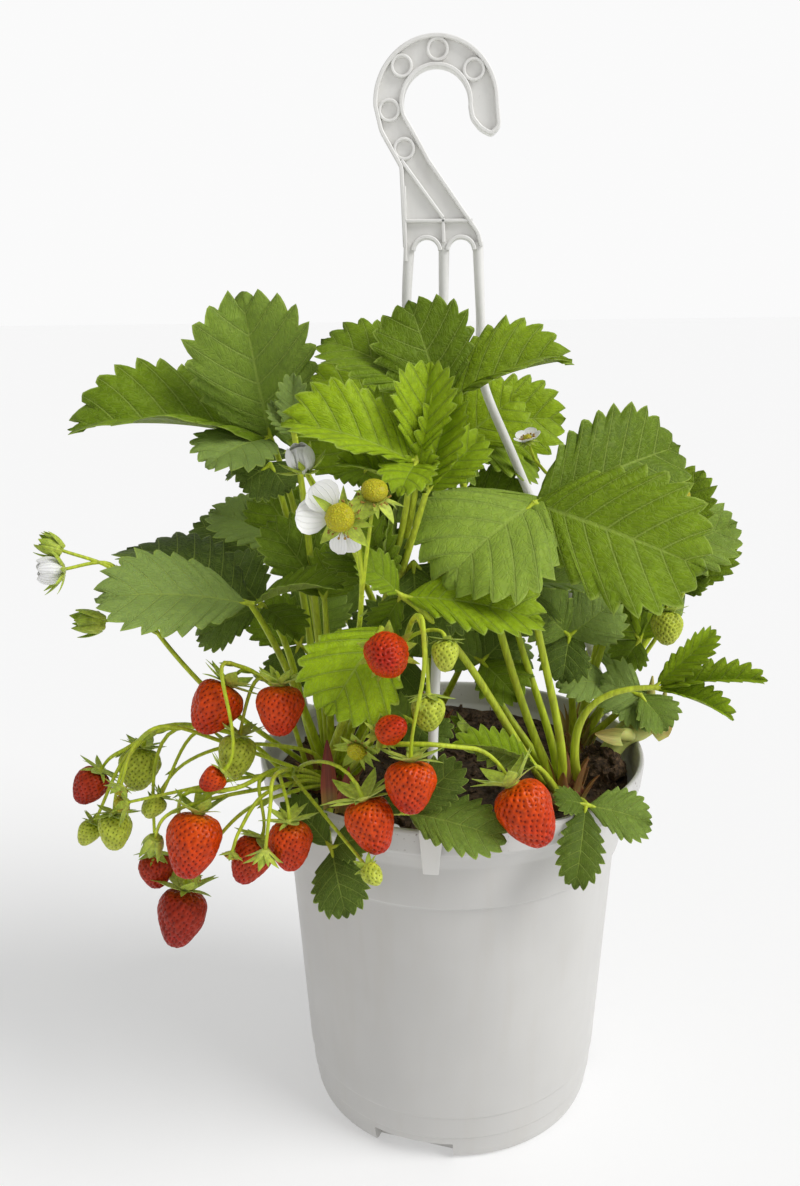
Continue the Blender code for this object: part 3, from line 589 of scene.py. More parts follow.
def tube(route, radii, sides=8):
    """A round stem along a route, closed at both ends."""
    route = vec(route)
    radii = np.broadcast_to(radii, len(route))
    side = across((0.3, 0.9, 0.2), route[1] - route[0])
    turns = circle(sides)
    rings = []
    for index, middle in enumerate(route):
        ahead = unit(route[min(index + 1, len(route) - 1)] - route[max(index - 1, 0)])
        side = across(side, ahead)
        rings.append(middle + spokes(turns, side, np.cross(ahead, side)) * radii[index])
    return loft(rings)


def tube_places(count, sides=8):
    """How far along a tube each of its points lies, 0..1."""
    return np.concatenate((np.repeat(np.linspace(0, 1, count), sides), (0.0, 1.0)))


def lathe(profile, sides, centre=(0, 0, 0), axis=(0, 0, 1)):
    """A turned solid from (radius, height) pairs that begin and end on the axis."""
    axis = unit(axis)
    first = across((1, 0, 0) if abs(axis[0]) < 0.9 else (0, 1, 0), axis)
    round_axis = spokes(circle(sides), first, np.cross(axis, first))
    rings = [vec(centre) + axis * height + round_axis * radius for radius, height in profile[1:-1]]
    points, faces = loft(rings)
    points[-2] = vec(centre) + axis * profile[0][1]
    points[-1] = vec(centre) + axis * profile[-1][1]
    return points, faces


def rounded(corners, radius, steps=3):
    """An open outline with each inner corner replaced by a small arc."""
    corners = [vec(c) for c in corners]
    result = [corners[0]]
    for before, here, after in zip(corners, corners[1:], corners[2:]):
        back, ahead = before - here, after - here
        cut = min(radius, np.linalg.norm(back) * 0.4, np.linalg.norm(ahead) * 0.4)
        start, end = here + unit(back) * cut, here + unit(ahead) * cut
        for t in np.linspace(0, 1, steps):
            result.append(start * (1 - t) ** 2 + here * 2 * t * (1 - t) + end * t * t)
    result.append(corners[-1])
    return np.array(result)


# ---- nodes ----
def add_node(tree, kind, inputs=None, **options):
    """Adds a node. Inputs go by name or number, and are values or other nodes' outputs."""
    node = tree.nodes.new(kind)
    for name, value in options.items():
        setattr(node, name, value)
    for key, value in (inputs or {}).items():
        if isinstance(value, bpy.types.NodeSocket):
            tree.links.new(value, node.inputs[key])
        else:
            node.inputs[key].default_value = value
    return node


def put(tree, kind, inputs=None, **options):
    """Adds a node and gives its first output."""
    return add_node(tree, kind, inputs, **options).outputs[0]


def sums(tree, operation, *terms):
    """One step of arithmetic on numbers or outputs."""
    return put(tree, "ShaderNodeMath", dict(enumerate(terms)), operation=operation)


def vector(tree, x, y, z):
    """Three numbers or outputs as one vector."""
    return put(tree, "ShaderNodeCombineXYZ", {0: x, 1: y, 2: z})


class Paint:
    """One material's nodes, built up step by step."""

    def __init__(self, name):
        self.material = bpy.data.materials.new(name)
        self.material.use_nodes = True
        self.tree = self.material.node_tree
        self.shader = self.tree.nodes["Principled BSDF"]
        self.place = add_node(self.tree, "ShaderNodeTexCoord").outputs["Object"]

    def value(self, name):
        """One of the values that the shape has at each point."""
        return add_node(self.tree, "ShaderNodeAttribute", attribute_name=name).outputs["Fac"]

    def sums(self, operation, *terms):
        """One step of arithmetic in this material."""
        return sums(self.tree, operation, *terms)

    def times(self, first, second):
        """The product of two numbers or outputs."""
        return sums(self.tree, "MULTIPLY", first, second)

    def scaled(self, value, scale, offset):
        """value times scale, plus offset."""
        return sums(self.tree, "MULTIPLY_ADD", value, scale, offset)

    def range(self, value, low, high, to_low=0.0, to_high=1.0):
        """Runs smoothly from to_low to to_high while value runs from low to high."""
        inputs = {"Value": value, "From Min": low, "From Max": high, "To Min": to_low, "To Max": to_high}
        return put(self.tree, "ShaderNodeMapRange", inputs, interpolation_type="SMOOTHSTEP")

    def noise(self, size, detail=3.0, roughness=0.55, at=None, stretch=None):
        """Cloudy noise whose patches are about size millimetres wide."""
        at = self.place if at is None else at
        if stretch is not None:
            at = put(self.tree, "ShaderNodeVectorMath", {0: at, 1: stretch}, operation="MULTIPLY")
        inputs = {"Vector": at, "Scale": 1.0 / (size * MM), "Detail": detail, "Roughness": roughness}
        return put(self.tree, "ShaderNodeTexNoise", inputs)

    def cells(self, size):
        """Distance to the nearest of points that lie about size millimetres apart."""
        return put(self.tree, "ShaderNodeTexVoronoi", {"Vector": self.place, "Scale": 1.0 / (size * MM)})

    def mix(self, factor, first, second, blend="MIX"):
        """first where factor is 0 and second where it is 1; colours or outputs."""
        first, second = (
            colour if isinstance(colour, bpy.types.NodeSocket) else (*colour, 1.0)
            for colour in (first, second))
        inputs = {0: factor, 6: first, 7: second}
        return add_node(self.tree, "ShaderNodeMix", inputs, data_type="RGBA", blend_type=blend).outputs[2]

    def steps(self, factor, *stops):
        """A colour that runs through (place, colour) stops."""
        node = add_node(self.tree, "ShaderNodeValToRGB", {0: factor})
        ramp = node.color_ramp
        while len(ramp.elements) < len(stops):
            ramp.elements.new(0.5)
        for element, (place, colour) in zip(ramp.elements, stops):
            element.position = place
            element.color = (*colour, 1.0)
        return node.outputs[0]

    def shade(self, colour, amount):
        """Makes a colour lighter and darker by an output that lies round 0.5."""
        factor = self.mix(self.range(amount, 0.25, 0.75), (0.72, 0.72, 0.72), (1.2, 1.2, 1.2))
        return self.mix(1.0, colour, factor, "MULTIPLY")

    def bump(self, height, depth, strength=1.0, under=None):
        """Relief of depth millimetres for a height of 0..1."""
        inputs = {"Height": height, "Distance": depth * MM, "Strength": strength}
        if under is not None:
            inputs["Normal"] = under
        return put(self.tree, "ShaderNodeBump", inputs)

    def finish(self, colour, roughness, normal=None, **fixed):
        """Links what varies to the shader and sets what is the same all over on its sockets."""
        for socket, value in (("Base Color", colour), ("Roughness", roughness), ("Normal", normal)):
            if isinstance(value, bpy.types.NodeSocket):
                self.tree.links.new(value, self.shader.inputs[socket])
            elif value is not None:
                self.shader.inputs[socket].default_value = value
        for socket, value in fixed.items():
            self.shader.inputs[socket.replace("_", " ")].default_value = value
        return self.material


# ---- finishes ----
# Each finish is one material, made when a piece first asks for it.
# how light spreads inside a thin leaflet
LEAF_FLESH = {"Subsurface_Weight": 0.08, "Subsurface_Radius": (0.5, 1.0, 0.05), "Subsurface_Scale": 0.0006}
FLOOR_GLOW = 0.33


def leaf_relief(paint):
    """How far out and how far from a vein a point is, a mask of the side veins and the midrib,
    and one of the fine net between them."""
    out = paint.value("across")
    vein = paint.value("vein")
    from_vein = paint.sums("PINGPONG", vein, 0.5)
    width = paint.range(out, 0.0, 1.0, 0.075, 0.035)
    side = paint.sums("SUBTRACT", 1.0, paint.range(from_vein, 0.012, width))
    midrib = paint.range(out, 0.012, 0.045, 1.0, 0.0)
    ribs = paint.sums("MAXIMUM", paint.times(side, paint.range(out, 0.9, 1.0, 1.0, 0.4)), midrib)
    flat = vector(paint.tree, paint.times(out, 5.0), vein, paint.value("tone"))
    wander = paint.noise(5.0, 2.0)
    bent = put(paint.tree, "ShaderNodeVectorMath", {0: flat, 1: vector(paint.tree, wander, wander, 0.0)},
               operation="ADD")
    net = put(paint.tree, "ShaderNodeTexVoronoi", {"Vector": bent, "Scale": 3.2},
              feature="DISTANCE_TO_EDGE")
    return out, from_vein, ribs, paint.range(net, 0.02, 0.16, 1.0, 0.0)


@cache
def leaf_top():
    """Upper side of the leaflets: tone from dark to bright green, grey-green painted sheen, painted shade in
    the grooves beside the side veins, veins and quilting.
    """
    look = settings().leaf
    paint = Paint("leaf_top")
    out, from_vein, ribs, net = leaf_relief(paint)
    tone = paint.value("tone")
    patchy = paint.scaled(paint.noise(16.0, 2.0), 0.24, -0.12)
    colour = paint.steps(paint.sums("ADD", tone, patchy), (0.0, look.dark), (0.42, look.middle),
                         (0.95, look.bright))
    colour = paint.shade(colour, paint.scaled(paint.noise(3.0, 4.0), 0.55, 0.225))
    # painted shade: darker green in the grooves along the side veins
    colour = paint.mix(paint.range(from_vein, 0.0, 0.20, 0.30, 0.0), colour, (0.030, 0.050, 0.002))
    # painted sheen: a grey-green wash where light glances off the leaflet
    colour = paint.mix(paint.times(paint.value("bloom"), 0.75), colour, look.bloom)
    colour = paint.mix(paint.times(net, 0.17), colour, look.vein)
    colour = paint.mix(paint.times(ribs, 0.48), colour, look.vein)
    colour = paint.mix(paint.range(out, 0.955, 1.0, 0.0, 0.65), colour, look.vein)
    quilt = paint.noise(2.6, 1.5)
    height = paint.scaled(ribs, -0.5, paint.scaled(net, -0.3, quilt))
    rough = paint.scaled(paint.noise(4.0), 0.20, 0.40)
    return paint.finish(colour, rough, paint.bump(height, 0.4), Specular_IOR_Level=0.12, **LEAF_FLESH)


@cache
def leaf_under():
    """Lower side of the leaflets, paler and with raised ribs."""
    look = settings().leaf
    paint = Paint("leaf_under")
    _, _, ribs, net = leaf_relief(paint)
    tone = paint.value("tone")
    colour = paint.steps(tone, (0.0, (0.115, 0.165, 0.018)), (0.45, (0.190, 0.260, 0.022)),
                         (0.95, (0.330, 0.430, 0.030)))
    colour = paint.shade(colour, paint.noise(3.0))
    colour = paint.mix(paint.times(net, 0.25), colour, look.vein)
    colour = paint.mix(paint.times(ribs, 0.6), colour, (0.38, 0.47, 0.10))
    height = paint.sums("ADD", ribs, paint.times(net, 0.4))
    rough = paint.scaled(paint.noise(4.0), 0.15, 0.55)
    return paint.finish(colour, rough, paint.bump(height, 0.4), Specular_IOR_Level=0.22,
                        Sheen_Weight=0.06, Sheen_Roughness=0.5, **LEAF_FLESH)


@cache
def stalk_skin():
    """Stalks; vein runs from foot to end and tone from dull to light green."""
    look = settings().leaf
    paint = Paint("stalk")
    low = paint.value("vein")
    tone = paint.value("tone")
    green = paint.steps(tone, (0.0, (0.380, 0.490, 0.018)), (0.5, look.stalk), (1.0, (0.560, 0.640, 0.055)))
    streaks = paint.noise(1.3, 3.0, stretch=(1.0, 1.0, 0.12))
    colour = paint.shade(green, streaks)
    red = paint.times(paint.range(low, 0.0, 0.09, 0.85, 0.0), paint.range(streaks, 0.3, 0.6))
    colour = paint.mix(red, colour, (0.230, 0.050, 0.030))
    blush = paint.times(paint.range(paint.noise(11.0), 0.52, 0.72), 0.25)
    colour = paint.mix(blush, colour, (0.300, 0.130, 0.040))
    rough = paint.scaled(paint.noise(2.0), 0.2, 0.34)
    return paint.finish(colour, rough, paint.bump(streaks, 0.12), Specular_IOR_Level=0.3,
                        Subsurface_Weight=0.1, Subsurface_Radius=(0.6, 1.0, 0.1),
                        Subsurface_Scale=0.001, Sheen_Weight=0.08, Sheen_Roughness=0.4)


@cache
def sepal_skin():
    """Calyx leaves and bracts; across is 0 on their midline and vein runs from foot to tip."""
    paint = Paint("sepal")
    out, run = paint.value("across"), paint.value("vein")
    colour = paint.steps(run, (0.0, (0.340, 0.450, 0.030)), (0.45, (0.200, 0.300, 0.012)),
                         (0.85, (0.150, 0.230, 0.012)), (1.0, (0.200, 0.140, 0.025)))
    light = paint.steps(run, (0.0, (0.560, 0.640, 0.100)), (1.0, (0.420, 0.540, 0.045)))
    colour = paint.mix(paint.value("tone"), colour, light)
    colour = paint.shade(colour, paint.noise(1.6, 3.0))
    lines = paint.range(paint.sums("PINGPONG", out, 0.25), 0.0, 0.05, 1.0, 0.0)
    colour = paint.mix(paint.times(lines, 0.35), colour, (0.45, 0.56, 0.22))
    return paint.finish(colour, 0.52, paint.bump(lines, 0.1), Specular_IOR_Level=0.25,
                        Subsurface_Weight=0.1, Subsurface_Radius=(0.5, 1.0, 0.08),
                        Subsurface_Scale=0.0008, Sheen_Weight=0.1, Sheen_Roughness=0.4)


@cache
def fruit_skin():
    """Berry flesh with painted shade in its pits; tone is its ripeness, vein runs from calyx to tip, across
    is the pits' depth.
    """
    look = settings().fruit
    paint = Paint("berry_flesh")
    ripeness, run, pit = paint.value("tone"), paint.value("vein"), paint.value("across")
    cloud = paint.noise(7.0, 2.0)
    # painted shade: darker green deep in an unripe berry's pits
    green = paint.mix(paint.range(pit, 0.1, 0.9), look.unripe, (0.220, 0.290, 0.012))
    green = paint.mix(paint.range(run, 0.5, 1.0, 0.0, 0.35), green, (0.52, 0.54, 0.12))
    red = paint.steps(paint.sums("ADD", run, paint.scaled(cloud, 0.6, -0.3)),
                      (0.0, (0.700, 0.150, 0.010)), (0.25, look.ripe), (1.0, (0.480, 0.022, 0.006)))
    # painted shade: dark red deep in a ripe berry's pits
    red = paint.mix(paint.range(pit, 0.15, 0.80, 0.0, 0.94), red, look.pit)
    red = paint.mix(paint.range(ripeness, 0.93, 1.0, 0.0, 0.65), red, (0.220, 0.010, 0.010))
    colour = paint.mix(paint.range(ripeness, 0.35, 0.65), green, red)
    colour = paint.shade(colour, paint.noise(2.4, 3.0))
    rough = paint.scaled(cloud, 0.16, 0.22)
    return paint.finish(colour, rough, paint.bump(paint.noise(0.8, 2.0), 0.1), Specular_IOR_Level=0.2,
                        Subsurface_Weight=0.04, Subsurface_Radius=(1.0, 0.2, 0.05),
                        Subsurface_Scale=0.001)


@cache
def seed_skin():
    """Seeds, green on an unripe berry and golden on a ripe one."""
    look = settings().fruit
    paint = Paint("berry_seed")
    colour = paint.steps(paint.value("tone"), (0.35, (0.180, 0.190, 0.015)), (0.65, look.seed))
    colour = paint.shade(colour, paint.noise(3.0))
    return paint.finish(colour, 0.45, paint.bump(paint.noise(0.5), 0.05), Specular_IOR_Level=0.15)


@cache
def petal_skin():
    """Petals; across is 0 on their midline and vein runs from foot to tip."""
    paint = Paint("petal")
    out, run = paint.value("across"), paint.value("vein")
    white = settings().flower.petal
    colour = paint.mix(paint.range(run, 0.0, 0.3, 0.7, 0.0), white, (0.66, 0.74, 0.36))
    ribs = paint.sums("PINGPONG", paint.times(out, 3.0), 0.5)
    lines = paint.range(ribs, 0.0, 0.12, 1.0, 0.0)
    colour = paint.mix(paint.times(lines, 0.10), colour, (0.62, 0.64, 0.55))
    colour = paint.mix(paint.range(paint.noise(4.0), 0.6, 0.8, 0.0, 0.25), colour, (0.78, 0.74, 0.60))
    return paint.finish(colour, 0.5, paint.bump(lines, 0.12), Specular_IOR_Level=0.35,
                        Subsurface_Weight=0.35, Subsurface_Radius=(1.0, 1.0, 0.8),
                        Subsurface_Scale=0.0012, Sheen_Weight=0.15)


@cache
def heart_skin():
    """A flower's cone with its knobs and painted shade between them; vein runs from foot to top."""
    look = settings().flower
    paint = Paint("flower_heart")
    run, knobs = paint.value("vein"), paint.cells(0.75)
    colour = paint.steps(run, (0.0, (0.200, 0.100, 0.020)), (0.3, (0.360, 0.330, 0.015)), (0.7, look.heart))
    # painted shade: darker yellow in the crevices between the knobs
    colour = paint.mix(paint.range(knobs, 0.35, 0.7, 0.0, 0.6), colour, (0.330, 0.290, 0.010))
    height = paint.range(knobs, 0.1, 0.7, 1.0, 0.0)
    return paint.finish(colour, 0.5, paint.bump(height, 0.35), Specular_IOR_Level=0.4,
                        Subsurface_Weight=0.15, Subsurface_Scale=0.001)


@cache
def anther_skin():
    """Filaments and anthers, mottled brown."""
    paint = Paint("anther")
    colour = paint.mix(paint.noise(0.8), settings().flower.anther, (0.230, 0.110, 0.020))
    return paint.finish(colour, 0.7, paint.bump(paint.noise(0.4), 0.1))


@cache
def crown_skin():
    """Rootstocks, scaly and mottled from dark brown to green."""
    paint = Paint("rootstock")
    scales = paint.noise(2.2, 4.0, stretch=(1.0, 1.0, 0.35))
    colour = paint.steps(scales, (0.25, (0.070, 0.028, 0.014)), (0.45, (0.220, 0.060, 0.030)),
                         (0.6, (0.300, 0.190, 0.060)), (0.8, (0.260, 0.320, 0.070)))
    return paint.finish(colour, 0.68, paint.bump(scales, 0.8), Specular_IOR_Level=0.3)


@cache
def stipule_skin():
    """Papery scales at the foot of the stalks, reddish below and greenish at their edge."""
    paint = Paint("stipule")
    out, run = paint.value("across"), paint.value("vein")
    grain = vector(paint.tree, paint.times(out, 0.006), paint.times(run, 0.0012), paint.value("tone"))
    streak = paint.noise(0.8, 3.0, at=grain)
    base = paint.steps(run, (0.0, (0.330, 0.260, 0.060)), (0.35, (0.250, 0.065, 0.035)),
                       (1.0, (0.190, 0.035, 0.025)))
    green = paint.steps(run, (0.0, (0.480, 0.540, 0.140)), (1.0, (0.480, 0.420, 0.110)))
    colour = paint.mix(paint.value("tone"), base, green)
    colour = paint.shade(colour, streak)
    return paint.finish(colour, 0.55, paint.bump(streak, 0.15), Specular_IOR_Level=0.35,
                        Subsurface_Weight=0.2, Subsurface_Scale=0.001)


# a height above everything, so that a plastic gets no specks
CLEAN = 900.0


def paint_plastic(name, plastic, dirt_from):
    """White moulded plastic: faint flow marks, dull patches and soil specks above a height."""
    look = settings().pot
    paint = Paint(name)
    height = add_node(paint.tree, "ShaderNodeSeparateXYZ", {0: paint.place}).outputs[2]
    cloud = paint.noise(45.0, 2.0)
    flow = paint.noise(9.0, 3.0, stretch=(1.0, 1.0, 0.16))
    duller = tuple(0.93 * part for part in plastic)
    colour = paint.mix(paint.range(cloud, 0.3, 0.7, 0.0, 0.8), plastic, duller)
    colour = paint.mix(paint.range(flow, 0.45, 0.75, 0.0, 0.3), colour, (0.54, 0.52, 0.48))
    scuff = paint.range(paint.noise(2.2, 5.0, 0.7, stretch=(1.0, 1.0, 0.5)), 0.66, 0.76, 0.0, 0.35)
    colour = paint.mix(scuff, colour, (0.55, 0.53, 0.50))
    specks = paint.range(paint.noise(1.5, 4.0, 0.65), 0.62, 0.70)
    near = paint.range(height, dirt_from * MM, (dirt_from + 9.0) * MM)
    colour = paint.mix(paint.times(specks, paint.times(near, 0.8)), colour, (0.120, 0.080, 0.055))
    rough = paint.scaled(paint.noise(14.0, 4.0), 0.24, look.roughness - 0.1)
    fine = paint.bump(paint.noise(1.1, 2.0), 0.018)
    normal = paint.bump(paint.noise(26.0, 2.0), 0.5, 0.6, under=fine)
    return paint.finish(colour, rough, normal, Specular_IOR_Level=0.45, Subsurface_Weight=0.1,
                        Subsurface_Radius=(1.0, 1.0, 1.0), Subsurface_Scale=0.003)


@cache
def soil_skin():
    """Potting soil with painted shade in the gaps round its clods."""
    look = settings().soil
    paint = Paint("potting_soil")
    clods, grit = paint.noise(6.0, 6.0, 0.7), paint.cells(2.2)
    colour = paint.steps(clods, (0.3, (0.014, 0.009, 0.007)), (0.5, look.soil), (0.68, look.bark),
                         (0.8, (0.260, 0.180, 0.110)))
    # painted shade: near black in the gaps round the clods, where the bump is low
    colour = paint.mix(paint.range(grit, 0.0, 0.25, 0.6, 0.0), colour, (0.015, 0.010, 0.008))
    height = paint.scaled(grit, 0.6, clods)
    return paint.finish(colour, 0.9, paint.bump(height, 2.0), Specular_IOR_Level=0.25)


@cache
def bark_skin():
    """Crumbs and fibres of bark."""
    look = settings().soil
    paint = Paint("bark_crumb")
    fibres = paint.noise(1.8, 5.0, 0.7)
    colour = paint.steps(fibres, (0.3, (0.020, 0.012, 0.009)), (0.5, look.soil), (0.62, look.bark),
                         (0.78, (0.300, 0.200, 0.135)))
    return paint.finish(colour, 0.85, paint.bump(fibres, 0.6), Specular_IOR_Level=0.25)


@cache
def floor_skin():
    """The floor, which glows a little so that it nearly meets the backdrop."""
    paint = Paint("floor")
    colour = paint.mix(paint.noise(300.0, 2.0), settings().stage.floor, (0.625, 0.625, 0.625))
    return paint.finish(colour, 0.8, Specular_IOR_Level=0.1, Emission_Color=(1.0, 1.0, 1.0, 1.0),
                        Emission_Strength=FLOOR_GLOW)


@cache
def pot_plastic():
    """The pot's plastic, specked with soil on what lies above the soil."""
    return paint_plastic("pot_plastic", settings().pot.plastic, SOIL_LEVEL)


@cache
def hanger_plastic():
    """The hanger's plastic, clean all over."""
    return paint_plastic("hanger_plastic", settings().pot.hanger, CLEAN)


# ---- geometry nodes for what repeats ----
SOCKETS = {int: "NodeSocketInt", float: "NodeSocketFloat", bpy.types.Material: "NodeSocketMaterial"}


def start_tree(name, inputs):
    """A geometry tree with named inputs; gives the tree and each input's output socket."""
    tree = bpy.data.node_groups.new(name, "GeometryNodeTree")
    tree.interface.new_socket("Geometry", in_out="INPUT", socket_type="NodeSocketGeometry")
    for label, kind in inputs:
        tree.interface.new_socket(label, in_out="INPUT", socket_type=SOCKETS[kind])
    tree.interface.new_socket("Geometry", in_out="OUTPUT", socket_type="NodeSocketGeometry")
    entry = tree.nodes.new("NodeGroupInput")
    return tree, {socket.name: socket for socket in entry.outputs if socket.name}


def end_tree(tree, get, copies):
    """Puts the copies on their points, realizes them, sets their material and leads them out."""
    real = put(tree, "GeometryNodeRealizeInstances", {0: put(tree, "GeometryNodeInstanceOnPoints", copies)})
    skin = put(tree, "GeometryNodeSetMaterial", {"Geometry": real, "Material": get["Material"]})
    add_node(tree, "NodeGroupOutput", {0: skin})
    return tree


def random_number(tree, low, high, seed):
    """A number between low and high for each copy."""
    return add_node(tree, "FunctionNodeRandomValue", {2: low, 3: high, 8: seed}, data_type="FLOAT").outputs[1]


def jitter(tree, spread, seed):
    """A number between -spread and spread for each copy."""
    return random_number(tree, sums(tree, "MULTIPLY", spread, -1.0), spread, seed)


@cache
def whorl_tree():
    """Copies of the object's own blade, spread round Z with their tips pointing outwards."""
    tree, get = start_tree("Whorl", (
        ("Count", int), ("Radius", float), ("Tilt", float), ("Tilt spread", float),
        ("Turn spread", float), ("Smallest", float), ("Seed", int), ("Material", bpy.types.Material)))
    share = sums(tree, "DIVIDE", put(tree, "GeometryNodeInputIndex"), get["Count"])
    angle = sums(tree, "MULTIPLY_ADD", share, 2 * math.pi, jitter(tree, get["Turn spread"], get["Seed"]))
    x = sums(tree, "MULTIPLY", sums(tree, "SINE", angle), sums(tree, "MULTIPLY", get["Radius"], -1.0))
    y = sums(tree, "MULTIPLY", sums(tree, "COSINE", angle), get["Radius"])
    points = put(tree, "GeometryNodePoints", {"Count": get["Count"], "Position": vector(tree, x, y, 0.0)})
    swing = jitter(tree, get["Tilt spread"], sums(tree, "ADD", get["Seed"], 11.0))
    tilt = sums(tree, "ADD", get["Tilt"], swing)
    turn = put(tree, "FunctionNodeEulerToRotation", {0: vector(tree, tilt, 0.0, angle)})
    size = random_number(tree, get["Smallest"], 1.0, sums(tree, "ADD", get["Seed"], 23.0))
    copies = {"Points": points, "Instance": get["Geometry"], "Rotation": turn, "Scale": size}
    return end_tree(tree, get, copies)


@cache
def seed_tree():
    """A small flat seed at each point, lying on the fruit and pointing to its tip."""
    tree, get = start_tree("Seeds", (
        ("Length", float), ("Width", float), ("Height", float), ("Material", bpy.types.Material)))
    grain = put(tree, "GeometryNodeMeshUVSphere", {"Segments": 6, "Rings": 4, "Radius": 1.0})
    scale = vector(tree, get["Width"], get["Length"], get["Height"])
    grain = put(tree, "GeometryNodeTransform", {"Geometry": grain, "Scale": scale})
    normal, lengthwise = (
        put(tree, "GeometryNodeInputNamedAttribute", {"Name": name}, data_type="FLOAT_VECTOR")
        for name in ("outward", "tipward"))
    stand = put(tree, "FunctionNodeAlignRotationToVector", {"Vector": normal}, axis="Z")
    turn = put(tree, "FunctionNodeAlignRotationToVector", {"Rotation": stand, "Vector": lengthwise},
               axis="Y", pivot_axis="Z")
    return end_tree(tree, get, {"Points": get["Geometry"], "Instance": grain, "Rotation": turn})


@cache
def crumb_tree():
    """Bark crumbs strewn over the faces whose tone is 1, some of them drawn out to fibres."""
    tree, get = start_tree("Crumbs", (
        ("Density", float), ("Smallest", float), ("Largest", float), ("Stretch", float), ("Seed", int),
        ("Material", bpy.types.Material)))
    top = put(tree, "GeometryNodeInputNamedAttribute", {"Name": "tone"}, data_type="FLOAT")
    density = sums(tree, "MULTIPLY", get["Density"], sums(tree, "GREATER_THAN", top, 0.5))
    spread = put(tree, "GeometryNodeDistributePointsOnFaces",
                 {"Mesh": get["Geometry"], "Density": density, "Seed": get["Seed"]})
    lump = put(tree, "GeometryNodeMeshIcoSphere", {"Radius": 1.0, "Subdivisions": 1})
    turn = put(tree, "FunctionNodeRandomValue", {0: (0.0, 0.0, 0.0), 1: (6.3, 6.3, 6.3), 8: 5},
               data_type="FLOAT_VECTOR")
    size = random_number(tree, get["Smallest"], get["Largest"], 7)
    long_side = sums(tree, "MULTIPLY", size, random_number(tree, 1.0, get["Stretch"], 9))
    scale = vector(tree, long_side, size, sums(tree, "MULTIPLY", size, 0.6))
    return end_tree(tree, get, {"Points": spread, "Instance": lump, "Rotation": turn, "Scale": scale})


def grown(maker, mesh, **inputs):
    """The plain mesh that a geometry tree makes from a mesh. Inputs go by their label."""
    tree = maker()
    obj = bpy.data.objects.new("growing", mesh)
    bpy.context.scene.collection.objects.link(obj)
    step = obj.modifiers.new("Grow", "NODES")
    step.node_group = tree
    for item in tree.interface.items_tree:
        label = item.name.replace(" ", "_").lower()
        if item.in_out == "INPUT" and label in inputs:
            step[item.identifier] = inputs[label]
    graph = bpy.context.evaluated_depsgraph_get()
    result = bpy.data.meshes.new_from_object(obj.evaluated_get(graph), depsgraph=graph)
    obj.modifiers.clear()
    bpy.data.objects.remove(obj)
    return result


def placed(centre, x, y, z):
    """The matrix, in millimetres, of a place with these axes."""
    return Matrix([(*row, at) for row, at in zip(zip(x, y, z), centre)] + [(0, 0, 0, 1)])


def basis(centre, forward, upward):
    """A place whose Y runs forward and whose Z runs as near to upward as it can."""
    y = unit(forward)
    z = across(upward, y)
    return placed(centre, np.cross(y, z), y, z)


# ---- leaves ----
# share of the margin at the foot that has no teeth, and a tooth as (place, height) pairs
BARE_MARGIN = 0.20
TOOTH_TIP = 0.62
TOOTH = ((0.0, 0.0), (0.22, 0.46), (0.44, 0.84), (TOOTH_TIP, 1.0), (0.84, 0.52))
LAST_TOOTH = ((0.0, 0.0), (0.35, 0.5), (0.7, 0.85))
# how far a tooth points forward, as a share of its height
TOOTH_LEAN = 0.42
# where the columns of points lie between midrib and margin
ACROSS = np.array((0.0, 0.07, 0.22, 0.40, 0.58, 0.76, 0.90, 1.0))
# how far a side vein rises along the leaflet for each millimetre outwards
VEIN_SLOPE = 0.82
# how high the middle of a leaflet stands over its ends, as a share of its length
ARCHING = 0.07
# length of a large leaflet's own stalk
PETIOLULE = 2.6
# how far a stem reaches into what it grows from
ROOTED = 4.0


def half_breadth(place):
    """Half the breadth of a leaflet, 0..1, at a place along its midrib."""
    return place ** 0.66 * (1 - place) ** 0.44 / 0.4805


class Margin:
    """The smooth outline of half a leaflet, read by its share of the outline's length."""

    def __init__(self, length, half_width):
        place = 1 - (1 - np.linspace(0, 1, 500)) ** 1.9
        self.line = np.column_stack((half_width * half_breadth(place), length * place))
        self.reached = lengths_along(self.line)
        self.length = self.reached[-1]

    def at(self, share):
        """Points at these shares of the margin's length."""
        where = np.asarray(share) * self.length
        return np.column_stack([np.interp(where, self.reached, self.line[:, k]) for k in (0, 1)])

    def direction(self, share):
        """Unit vectors along the margin at these shares."""
        return units(self.at(np.clip(share + 0.004, 0, 1)) - self.at(np.clip(share - 0.004, 0, 1)))


def margin_rows(teeth):
    """Rows from foot to tip: (share of the margin, tooth height, vein number, tooth size)."""
    step = (1 - BARE_MARGIN) / (teeth + 0.5)
    rows = [(BARE_MARGIN * share, 0.0, 0.4 * share, 0.3) for share in (0.12, 0.4, 0.7)]
    for tooth in range(teeth):
        size = min(1.0, 0.55 + 0.22 * tooth)
        for phase, height in TOOTH:
            rows.append((BARE_MARGIN + (tooth + phase) * step, height, tooth + phase + 1 - TOOTH_TIP, size))
    for phase, height in LAST_TOOTH:
        rows.append((1 - 0.5 * step * (1 - phase), height, teeth + 1 - TOOTH_TIP * (1 - phase), 0.9))
    return np.array(rows), step


